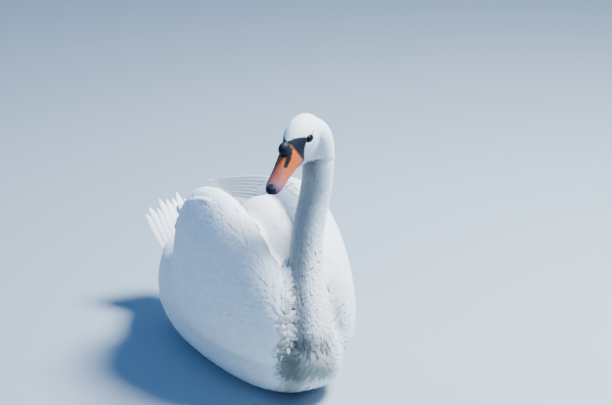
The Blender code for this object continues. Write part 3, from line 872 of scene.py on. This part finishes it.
# Corners round a blade, stations along it, and where along it the tip begins.
SHAPES = {"head": (4, 4, 0.5), "neck_upper": (4, 4, 0.45), "neck_lower": (4, 5, 0.45)}
BODY_SHAPE = (4, 5, 0.40)
LOCK_REACH = 0.008  # tips this near each other cling together
LOCK_PULL, LOCK_DARK = 0.9, 0.65
FOOT_TOP, FOOT_REACH = (-0.190, -0.130), (-0.070, -0.056)  # where the neck's feathers are ruffled
RUFFLED_TURN, RUFFLED_LIFT, RUFFLED_NARROWER = 0.16, (-0.2, 0.4), 0.45
TONE_SPREAD = 0.032
LIFT_ROOT, LIFT_TIP = 0.52, 0.56  # of a blade over the skin, as shares of the coat's depth
BLADE_CUP = 0.08
OVERHANG = 0.009  # how far a tip may stand off the skin, past an edge
PIECE_NAMES = {
    "head": "head_feathers",
    "neck_upper": "upper_neck_feathers",
    "neck_lower": "lower_neck_feathers",
    "trunk": "body_feathers",
    "wing_left": "left_wing_feathers",
    "wing_right": "right_wing_feathers",
}


def gather_locks(lines, ruffled, shares):
    """Wet feathers cling together: the tips of those near each other meet. Also gives each lock's
    own darkness."""
    tips = lines[:, -1]
    tree = KDTree(len(tips))
    for index, tip in enumerate(tips):
        tree.insert(tip, index)
    tree.balance()
    lock = np.full(len(tips), -1)
    for index, tip in enumerate(tips):
        if lock[index] < 0:
            for _, other, _ in tree.find_range(tip, LOCK_REACH):
                if lock[other] < 0:
                    lock[other] = index
    middle = np.zeros_like(tips)
    np.add.at(middle, lock, tips)
    middle = middle / np.maximum(np.bincount(lock, minlength=len(tips)), 1)[:, None]
    pull = (middle[lock] - tips)[:, None, :] * (LOCK_PULL * ruffled[:, None] * shares**1.4)[:, :, None]
    return lines + pull, chance.uniform(0.0, 1.0, len(tips))[lock]


def over_lids(lines):
    """Whether a blade runs over an eye or its lids."""
    local = to_head(lines.reshape(-1, 3))
    over = np.zeros(len(local), bool)
    for side in (1, -1):
        over |= (from_lids(local, side)[1] < LIDS_BARE) & (side * local[:, 0] > LIDS_SIDE)
    return over.reshape(lines.shape[:2]).any(axis=1)


def feather_sizes(node, points, nodes, normals):
    """How long feathers are beside their region's length, and how ruffled they are."""
    local = to_head(points)
    size, ruffled = np.ones(len(points)), np.zeros(len(points))
    if node == "head":
        size = 1.0 - 0.42 * smooth_step(-local[:, 1], -0.030, 0.030)
        size = size + 0.5 * smooth_step(local[:, 1], 0.030, 0.065)
    if node == "neck_upper":
        size = 0.70 + 0.30 * smooth_step(np.linalg.norm(local, axis=1), *HEAD_END)
    if node == "trunk":
        size = 0.66 + 0.38 * smooth_step(points[:, 1], -0.28, -0.08)
        size = size + 0.5 * smooth_step(-points[:, 2], *BELLY_TOP)
    if node.startswith("wing"):
        size = 0.85 + 0.22 * smooth_step(points[:, 1], *WING_REAR)
        size = size + 0.45 * on_inner_face(points, nodes, normals)
    if node == "neck_lower":
        from_axis = np.hypot(points[:, 0] - NECK_AXIS[0, 0], points[:, 1] - NECK_AXIS[0, 1])
        ruffled = smooth_step(-points[:, 2], *FOOT_TOP) * smooth_step(-from_axis, *FOOT_REACH)
        size = size + 0.45 * ruffled
    return size, ruffled


def coat_region(node):
    """Lays the feathers of one region."""
    chosen = root_nodes == node
    points, nodes, normals = root_points[chosen], root_nodes[chosen], root_normals[chosen]
    unwraps, rise = root_unwraps[chosen], root_depths[chosen]
    length, half, scatter = REGIONS[node]
    shape = SHAPES.get(node, BODY_SHAPE)
    count = len(points)
    size, ruffled = feather_sizes(node, points, nodes, normals)
    lengths = length * size * chance.uniform(0.88, 1.12, count)
    widths = half * size * chance.uniform(0.90, 1.10, count) * (1 - RUFFLED_NARROWER * ruffled)
    turns = chance.normal(0.0, scatter, count) + ruffled * chance.normal(0.0, RUFFLED_TURN, count)
    shares = vane_shares(shape[1])
    lines, ways, faces = follow(points, nodes, normals, lengths, turns, shares)
    tone = chance.normal(1.0, TONE_SPREAD, count)
    if node == "neck_lower":
        lines, darkness = gather_locks(lines, ruffled, shares)
        tone = tone * (1 - ruffled * LOCK_DARK * darkness**1.5)
    lifts = LIFT_ROOT + LIFT_TIP * shares
    stray = chance.uniform(0.95, 1.05, count) + ruffled * chance.uniform(*RUFFLED_LIFT, count)
    overhangs = np.array([skin_surface.find_nearest(Vector(tip))[3] for tip in lines[:, -1]])
    lines = lines + faces * (lifts[None, :] * (stray * rise)[:, None])[:, :, None]
    acrosses = unit(np.cross(ways, faces))
    thick = widths * 0.012 + 0.00010
    colours = coat_colour(points) * tone[:, None]
    kept = (overhangs < OVERHANG) & ~over_lids(lines)
    lay_blades(
        PIECE_NAMES[node], lines[kept], acrosses[kept], faces[kept], widths[kept], thick[kept],
        BLADE_CUP, colours[kept], unwraps[kept], small_vane, shape,
    )


for node in FLESH:
    coat_region(node)

# ---------------------------------------------------------------------------------------------
# The eyes: wet dark brown balls, almost black. Each is one smooth glossy ball, sunk in the head so
# that only the part between its lids shows.
def two_tones(tree, shader, factor, low, high):
    """Colours a surface between two tones, by a pattern."""
    ramp = add_node(tree, "ShaderNodeValToRGB", {"Fac": factor})
    ramp.color_ramp.elements[0].color = (*low, 1.0)
    ramp.color_ramp.elements[1].color = (*high, 1.0)
    tree.links.new(ramp.outputs["Color"], shader.inputs["Base Color"])


eye_paint, eye_tree, eye_shader = new_material("wet_eye", (0.010, 0.007, 0.006), 0.12)
iris = pattern_on(eye_tree, "ShaderNodeTexNoise", Scale=420.0, Detail=2.0)
two_tones(eye_tree, eye_shader, iris.outputs["Fac"], (0.002, 0.002, 0.002), (0.009, 0.006, 0.005))
eye_shader.inputs["Specular IOR Level"].default_value = 0.14
for side, name in ((1, "eye_left"), (-1, "eye_right")):
    eye_data = bmesh.new()
    bmesh.ops.create_uvsphere(eye_data, u_segments=40, v_segments=28, radius=EYE_RADIUS)
    bmesh.ops.translate(eye_data, verts=eye_data.verts, vec=(side * EYE_PLACE[0], *EYE_PLACE[1:]))
    bmesh.ops.transform(eye_data, verts=eye_data.verts, matrix=HEAD_FRAME)
    eye = mesh_object(f"{name}_ball", eye_data, eye_paint)
    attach(eye, "root")
    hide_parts(name)

# ---------------------------------------------------------------------------------------------
# The bill: smooth horn over bone, orange at its root and pinker to the tip, with a black edge,
# black nostril patches, a black knob at the forehead and a hard black nail at the tip.
# Stations: place on Y, half width, edge, culmen and palate, in the head's frame.
UPPER_BILL_LINE = (
    (-0.028, 0.0195, -0.0135, 0.0245, -0.0240),
    (-0.040, 0.0204, -0.0150, 0.0240, -0.0255),
    (-0.050, 0.0199, -0.0158, 0.0208, -0.0248),
    (-0.060, 0.0192, -0.0162, 0.0158, -0.0236),
    (-0.072, 0.0186, -0.0170, 0.0095, -0.0226),
    (-0.086, 0.0184, -0.0184, 0.0022, -0.0226),
    (-0.098, 0.0186, -0.0200, -0.0040, -0.0232),
    (-0.108, 0.0184, -0.0214, -0.0084, -0.0240),
    (-0.116, 0.0168, -0.0229, -0.0120, -0.0248),
    (-0.1225, 0.0124, -0.0245, -0.0160, -0.0260),
    (-0.1272, 0.0040, -0.0258, -0.0232, -0.0264),
)
LOWER_BILL_LINE = (
    (-0.028, 0.0155, -0.0180, -0.0090, -0.0275),
    (-0.045, 0.0156, -0.0195, -0.0105, -0.0290),
    (-0.062, 0.0152, -0.0205, -0.0120, -0.0292),
    (-0.080, 0.0146, -0.0222, -0.0142, -0.0298),
    (-0.096, 0.0134, -0.0246, -0.0178, -0.0308),
    (-0.106, 0.0102, -0.0266, -0.0212, -0.0306),
    (-0.1110, 0.0020, -0.0276, -0.0262, -0.0284),
)
SHARP_END = 0.16  # the last share of the tip closes to a point
UPPER_SQUARENESS, LOWER_SQUARENESS, UNDERSIDE_SQUARENESS = 0.92, 0.85, 0.8


def station_at(line, place):
    """The sizes at a place from 0 to 1 along a line of stations, on a smooth curve."""
    last = len(line) - 1
    index = min(int(place * last), last - 1)
    t = place * last - index
    before, start, end, after = (line[min(max(index + k, 0), last)] for k in (-1, 0, 1, 2))
    sizes = []
    for p0, p1, p2, p3 in zip(before, start, end, after):
        bend = 2 * p0 - 5 * p1 + 4 * p2 - p3
        twist = 3 * p1 - p0 - 3 * p2 + p3
        sizes.append(p1 + 0.5 * t * (p2 - p0 + t * (bend + t * twist)))
    return sizes


def mandible(line, around, along, squareness):
    """A closed oval body through the stations, as a bmesh in the head's frame."""
    data = bmesh.new()
    bmesh.ops.create_uvsphere(data, u_segments=around, v_segments=along, radius=1.0)
    for vertex in data.verts:
        share = float(np.arccos(np.clip(vertex.co.z, -1, 1)) / pi)
        rim = max(np.hypot(vertex.co.x, vertex.co.y), 1e-6)
        shown = 0.0 if rim < 1e-4 else 1.0
        side, rise = vertex.co.x / rim * shown, vertex.co.y / rim * shown
        place, half, edge, top, bottom = station_at(line, share)
        closing = min(1.0, (rim / SHARP_END)) if share > 0.5 else 1.0
        power = squareness if rise > 0 else UNDERSIDE_SQUARENESS
        out = abs(side) ** power * (1 if side >= 0 else -1)
        height = (top - edge) if rise > 0 else (edge - bottom)
        vertex.co = (half * out * closing, place, edge + height * rise * closing)
    bmesh.ops.recalc_face_normals(data, faces=data.faces)
    return data


HORN_ORANGE = np.array((0.47, 0.098, 0.018))
HORN_PINK = np.array((0.36, 0.100, 0.064))
HORN_MAUVE = np.array((0.23, 0.105, 0.175))
HORN_BLACK = np.array((0.006, 0.007, 0.011))
PINK_FROM, MAUVE_FROM = (0.066, 0.096), (0.098, 0.120)
# The black stripe from the knob to the nostril: places out, forward and up, and its half width.
NOSTRIL_STRIPE = np.array(((0.0080, 0.0400, 0.0215), (0.0102, 0.0560, 0.0112), (0.0108, 0.0745, 0.0030)))
STRIPE_HALF, STRIPE_TAPER = 0.0054, 0.0016
# The black lower edge of the upper bill, as places forward and heights.
LOWER_RIM = ((0.040, 0.060, 0.086, 0.116, 0.127), (-0.0250, -0.0226, -0.0218, -0.0240, -0.0258))
KNOB_PLACE, KNOB_RING = (0.0, -0.050, 0.0225), (0.0150, 0.0165)
TIP_BLACK = (0.1215, 0.1245)


def bill_colour(points):
    """Colours of the bill by place in the head's frame."""
    local = to_head(points)
    forward, out, height = -local[:, 1], np.abs(local[:, 0]), local[:, 2]
    to_pink = smooth_step(forward, *PINK_FROM)[:, None]
    to_mauve = smooth_step(forward, *MAUVE_FROM)[:, None]
    colour = HORN_ORANGE * (1 - to_pink) + HORN_PINK * to_pink
    colour = colour * (1 - to_mauve) + HORN_MAUVE * to_mauve
    dark = 1 - horn_side(points)
    point = np.stack((out, forward, height), axis=1)
    gap = np.full(len(points), 1.0)
    for start, end in zip(NOSTRIL_STRIPE, NOSTRIL_STRIPE[1:]):
        run = end - start
        share = np.clip(((point - start) @ run) / (run @ run), 0, 1)
        gap = np.minimum(gap, np.linalg.norm(point - start - share[:, None] * run, axis=1))
    reach = STRIPE_HALF - STRIPE_TAPER * smooth_step(forward, 0.050, 0.078)
    dark = np.maximum(dark, 1 - smooth_step(gap - reach, -0.0006, 0.0006))
    rim = 1 - smooth_step(np.abs(height - np.interp(forward, *LOWER_RIM) + 0.0006), 0.0008, 0.0016)
    dark = np.maximum(dark, rim * smooth_step(forward, 0.040, 0.050))
    dark = np.maximum(dark, smooth_step(forward, *TIP_BLACK))
    from_knob = np.linalg.norm(local - KNOB_PLACE, axis=1)
    dark = np.maximum(dark, 1 - smooth_step(from_knob, *KNOB_RING))
    dark = dark[:, None]
    return colour * (1 - dark) + HORN_BLACK * dark


horn_paint, horn_tree, horn_shader = new_material("bill_horn", (0.66, 0.16, 0.03), 0.40)
horn_colour = add_node(horn_tree, "ShaderNodeVertexColor", layer_name="horn_colour")
mottle = pattern_on(horn_tree, "ShaderNodeTexNoise", Scale=140.0, Detail=4.0)
mottle_range = add_node(
    horn_tree, "ShaderNodeMapRange", {"Value": mottle.outputs["Fac"], "To Min": 0.82, "To Max": 1.16}
)
mottled = {0: horn_colour.outputs["Color"], "Scale": mottle_range.outputs["Result"]}
horn_mix = add_node(horn_tree, "ShaderNodeVectorMath", mottled, operation="SCALE")
horn_tree.links.new(horn_mix.outputs["Vector"], horn_shader.inputs["Base Color"])
scuffs = pattern_on(horn_tree, "ShaderNodeTexNoise", Scale=520.0, Detail=3.0)
roughen(horn_tree, horn_shader, scuffs.outputs["Fac"], 0.25, 0.0005)
horn_shader.inputs["Specular IOR Level"].default_value = 0.22

# The nostril is a dent in each side, and a groove runs along the side below it.
NOSTRIL = (-0.0705, 0.0050)  # place on Y and height
NOSTRIL_SIZE = (0.0042, 0.0015)
NOSTRIL_DEPTH, NOSTRIL_SIDE = 0.0010, 0.004
GROOVE_DEPTH, GROOVE_WIDTH, GROOVE_SIDE = 0.00035, 0.0012, 0.006
GROOVE_LINE = (-0.086, -0.0058, 0.17)  # a point of it, as place on Y and height, and its slope
GROOVE_ENDS = (-0.112, -0.045)

upper_data = mandible(UPPER_BILL_LINE, 64, 96, UPPER_SQUARENESS)
for vertex in upper_data.verts:
    x, y, z = vertex.co
    hand = 1 if x > 0 else -1
    nostril = swelling(y, NOSTRIL[0], NOSTRIL_SIZE[0]) * swelling(z, NOSTRIL[1], NOSTRIL_SIZE[1])
    if abs(x) > NOSTRIL_SIDE:
        vertex.co.x -= hand * NOSTRIL_DEPTH * nostril
    groove_height = GROOVE_LINE[1] + (y - GROOVE_LINE[0]) * GROOVE_LINE[2]
    groove = swelling(z, groove_height, GROOVE_WIDTH) * (GROOVE_ENDS[0] < y < GROOVE_ENDS[1])
    vertex.co.x -= hand * GROOVE_DEPTH * groove * (abs(x) > GROOVE_SIDE)
upper_data.transform(HEAD_FRAME)
bill_upper = mesh_object("upper_bill", upper_data, horn_paint)
upper_places = np.array([vertex.co for vertex in bill_upper.data.vertices])
paint_points(bill_upper, "horn_colour", bill_colour(upper_places))
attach(bill_upper, "root")
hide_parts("bill_upper")

# The lower bill is black at the corner of the gape.
GAPE_BLACK_END, GAPE_BLACK_TOP = (0.050, 0.062), (-0.034, -0.029)

lower_data = mandible(LOWER_BILL_LINE, 48, 72, LOWER_SQUARENESS)
lower_data.transform(HEAD_FRAME)
bill_lower = mesh_object("lower_bill", lower_data, horn_paint)
lower_places = np.array([vertex.co for vertex in bill_lower.data.vertices])
local = to_head(lower_places)
dark = (1 - smooth_step(-local[:, 1], *GAPE_BLACK_END)) * smooth_step(local[:, 2], *GAPE_BLACK_TOP)
lower_colours = bill_colour(lower_places) * (1 - dark[:, None]) + HORN_BLACK * dark[:, None]
paint_points(bill_lower, "horn_colour", lower_colours)
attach(bill_lower, "root")
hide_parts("bill_lower")

black_paint, black_tree, black_shader = new_material("black_horn", tuple(HORN_BLACK), 0.52)
black_shader.inputs["Specular IOR Level"].default_value = 0.13
dimples = pattern_on(black_tree, "ShaderNodeTexNoise", Scale=300.0, Detail=4.0)
two_tones(black_tree, black_shader, dimples.outputs["Fac"], (0.004, 0.005, 0.009), (0.014, 0.017, 0.026))
roughen(black_tree, black_shader, dimples.outputs["Fac"], 0.4, 0.0008)

# The knob is a ball, wider below and a little uneven, and the nail a flatter one, hooked down.
KNOB_WIDENING, KNOB_UNEVENNESS, NAIL_HOOK = 0.16, 0.015, 0.22
for name, node, radii, place in (
    ("knob", "bill_knob", (0.0108, 0.0140, 0.0138), (0.0, -0.0500, 0.0232)),
    ("nail", "bill_nail", (0.0106, 0.0152, 0.0078), (0.0, -0.1165, -0.0182)),
):
    lump = bmesh.new()
    bmesh.ops.create_uvsphere(lump, u_segments=48, v_segments=32, radius=1.0)
    for vertex in lump.verts:
        if node == "bill_knob":
            vertex.co.x *= 1.0 + KNOB_WIDENING * smooth_step(-vertex.co.z, 0.0, 0.9)
            vertex.co *= 1.0 + KNOB_UNEVENNESS * sin(5.0 * vertex.co.x + 3.0 * vertex.co.z)
        else:
            vertex.co.z -= NAIL_HOOK * float(smooth_step(-vertex.co.y, 0.55, 1.0))
    bmesh.ops.scale(lump, vec=radii, verts=lump.verts)
    bmesh.ops.translate(lump, vec=place, verts=lump.verts)
    lump.transform(HEAD_FRAME)
    piece = mesh_object(f"bill_{name}_horn", lump, black_paint)
    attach(piece, "root")
    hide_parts(node)

# ---------------------------------------------------------------------------------------------
# The long feathers of tail and wings: stiff flat vanes, thickest along the shaft, that root in
# the flesh. The tail's spread like a fan, each wing's primaries lie in a bunch, and its
# secondaries edge it from the ridge down.
FLIGHT_SHAPE = (8, 14)
flight_vane = plumage("flight_feather", 420.0, 0.00035)
unwrap_tree = KDTree(len(middles))
for index, point in enumerate(middles):
    unwrap_tree.insert(point, index)
unwrap_tree.balance()


def unwrap_near(points):
    """The place on the skin's unwrap that is nearest to each point."""
    nearest = [unwrap_tree.find(point)[1] for point in points]
    return skin_unwrap[triangle_loops[nearest]].mean(axis=1)


def long_feathers(name, roots, ways, faces, lengths, widths, droop, blunt, cup):
    """Straight long feathers that droop a little towards their tips, away from their faces."""
    roots, faces = np.array(roots, float), unit(np.array(faces, float))
    ways = unit(np.array(ways, float))
    lengths, widths = np.array(lengths, float), np.array(widths, float)
    around, along = FLIGHT_SHAPE
    shares = np.linspace(0, 1, along + 1)
    faces = unit(faces - ways * (faces * ways).sum(axis=1, keepdims=True))
    lines = roots[:, None, :] + ways[:, None, :] * (lengths[:, None] * shares)[:, :, None]
    lines = lines - faces[:, None, :] * (droop * lengths[:, None] * shares**2)[:, :, None]
    count = len(roots)
    across = np.repeat(np.cross(ways, faces)[:, None, :], along + 1, axis=1)
    normal = np.repeat(faces[:, None, :], along + 1, axis=1)
    thick = widths * 0.010 + 0.00030
    colours = coat_colour(roots) * chance.normal(1.0, 0.012, count)[:, None]
    return lay_blades(
        name, lines, across, normal, widths, thick, cup, colours, unwrap_near(roots),
        flight_vane, (around, along, blunt),
    )


TAIL_ROOT = np.array((0.002, 0.212, 0.128))
TAIL_WAY, TAIL_FACE = np.array((0.0, 0.76, 0.65)), np.array((0.0, -0.65, 0.76))
TAIL_FEATHERS, TAIL_BREADTH, TAIL_HALF_WIDTH = 12, 0.078, 0.0150
TAIL_FAN, TAIL_ROLL = 0.50, 0.55  # how far the outer feathers turn outwards and roll over
TAIL_LENGTH, TAIL_MIDDLE_EXTRA, TAIL_UNEVENNESS = 0.146, 0.018, 0.009
sideways = np.array((1.0, 0.0, 0.0))
roots, ways, faces, lengths = [], [], [], []
for index in range(TAIL_FEATHERS):
    spread = index / (TAIL_FEATHERS - 1) - 0.5
    layer = 0.016 * cos(pi * spread) - 0.004 - abs(spread) * 0.007
    roots.append(TAIL_ROOT + sideways * TAIL_BREADTH * spread + TAIL_FACE * layer)
    ways.append(TAIL_WAY + sideways * TAIL_FAN * spread)
    faces.append(TAIL_FACE + sideways * TAIL_ROLL * spread)
    uneven = TAIL_UNEVENNESS * sin(2.4 * index)
    lengths.append(TAIL_LENGTH + TAIL_MIDDLE_EXTRA * cos(pi * spread) + uneven)
widths = [TAIL_HALF_WIDTH] * TAIL_FEATHERS
tail = long_feathers("tail_feathers", roots, ways, faces, lengths, widths, 0.03, 0.30, 0.16)
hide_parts("tail")

# The primaries of each wing lie in a bunch, one below the other, the longest on top. The right
# wing's are shorter and turned further in.
PRIMARIES, PRIMARY_STACK, PRIMARY_HALF_WIDTH = 8, 0.060, 0.0105
PRIMARY_LENGTHS = {"wing_left": 0.205, "wing_right": 0.167}
PRIMARY_TAPER, PRIMARY_UNEVENNESS = 0.052, 0.006
PRIMARY_FAN, PRIMARY_TILT = 0.14, 0.75
PRIMARY_TURNS = {"wing_left": 0.0, "wing_right": 0.12}
for name, title, side in (("wing_left", "left_primaries", 1), ("wing_right", "right_primaries", -1)):
    root, way = np.array(PRIMARY_ROOTS[name]), np.array(PRIMARY_WAYS[name])
    down = np.array((-0.15 * side, 0.10, -1.0))
    out = np.cross(way, down)
    out = out * (1 if out[0] * side > 0 else -1)
    roots, ways, faces, lengths = [], [], [], []
    for index in range(PRIMARIES):
        share = index / (PRIMARIES - 1)
        layer = 0.004 - 0.0011 * index
        roots.append(root + down * PRIMARY_STACK * (share - 0.5) + unit(out) * layer)
        fan = down * PRIMARY_FAN * (share - 0.5)
        ways.append(way / np.linalg.norm(way) - fan + (PRIMARY_TURNS[name], 0.0, 0.0))
        faces.append(out + (0.0, 0.0, PRIMARY_TILT))
        uneven = PRIMARY_UNEVENNESS * cos(9.0 * index)
        lengths.append(PRIMARY_LENGTHS[name] - PRIMARY_TAPER * share + uneven)
    widths = [PRIMARY_HALF_WIDTH] * PRIMARIES
    long_feathers(title, roots, ways, faces, lengths, widths, 0.02, 0.35, 0.10)

# The rear edge and the ridge of each wing, as Y, X and Z, that the secondaries reach past.
WING_RIDGE = np.array(
    (
        (-0.100, 0.092, 0.394),
        (-0.010, 0.098, 0.382),
        (0.055, 0.100, 0.336),
        (0.098, 0.104, 0.276),
        (0.120, 0.106, 0.224),
    )
)
SECONDARIES = 17
SECONDARY_SHAPE = (6, 9, 0.60)
SECONDARY_LENGTH, SECONDARY_HALF_WIDTH = 0.078, 0.0115
SECONDARY_LIFT = (0.50, 0.66)  # at the root, and how much more at the tip, as shares of the coat
SECONDARY_ROOT = np.array((0.020, -0.050, -0.010))  # outwards, forwards and down from the edge
for node, title in (("wing_left", "left_secondaries"), ("wing_right", "right_secondaries")):
    hand = 1 if node == "wing_left" else -1
    along = np.linspace(0, len(WING_RIDGE) - 1, SECONDARIES)
    spine = np.stack([np.interp(along, range(len(WING_RIDGE)), column) for column in WING_RIDGE.T], axis=1)
    guesses = (spine[:, (1, 0, 2)] + SECONDARY_ROOT) * (hand, 1, 1)
    found = [skin_surface.find_nearest(Vector(guess)) for guess in guesses]
    points = np.array([spot for spot, normal, index, distance in found])
    normals = np.array([normal for spot, normal, index, distance in found])
    nodes = np.full(SECONDARIES, node)
    shares = vane_shares(SECONDARY_SHAPE[1])
    lengths = SECONDARY_LENGTH * chance.uniform(0.94, 1.06, SECONDARIES)
    widths = np.full(SECONDARIES, SECONDARY_HALF_WIDTH)
    lines, ways, faces = follow(points, nodes, normals, lengths, np.zeros(SECONDARIES), shares)
    lifts = COAT_DEPTH[node] * (SECONDARY_LIFT[0] + SECONDARY_LIFT[1] * shares)
    lines = lines + faces * lifts[None, :, None]
    lay_blades(
        title, lines, unit(np.cross(ways, faces)), faces, widths, widths * 0.010 + 0.0003, 0.10,
        coat_colour(points), unwrap_near(points), flight_vane, SECONDARY_SHAPE,
    )

# ---------------------------------------------------------------------------------------------
# The feet: dark grey feet folded flat under the belly, three toes joined by thin webs of leathery
# skin with small scales. Each is its solid's own shape with softer edges.
foot_paint, foot_tree, foot_shader = new_material("scaly_web", (0.045, 0.045, 0.050), 0.55)
scales = pattern_on(foot_tree, "ShaderNodeTexVoronoi", Scale=420.0)
two_tones(foot_tree, foot_shader, scales.outputs["Distance"], (0.060, 0.058, 0.060), (0.022, 0.022, 0.026))
roughen(foot_tree, foot_shader, scales.outputs["Distance"], 0.5, 0.0008).invert = True
FOOT_VOXEL, FOOT_SMOOTHING, FOOT_SINK = 0.0012, 3, 0.0002
for node in ("leg_left", "leg_right"):
    leg_data = remeshed(merged_copy(node), FOOT_VOXEL, FOOT_SMOOTHING)
    for vertex in leg_data.verts:
        vertex.co.z = max(vertex.co.z - FOOT_SINK, 0.0)
    leg = mesh_object(f"{node}_skin", leg_data, foot_paint)
    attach(leg, "root")
    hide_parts(node)
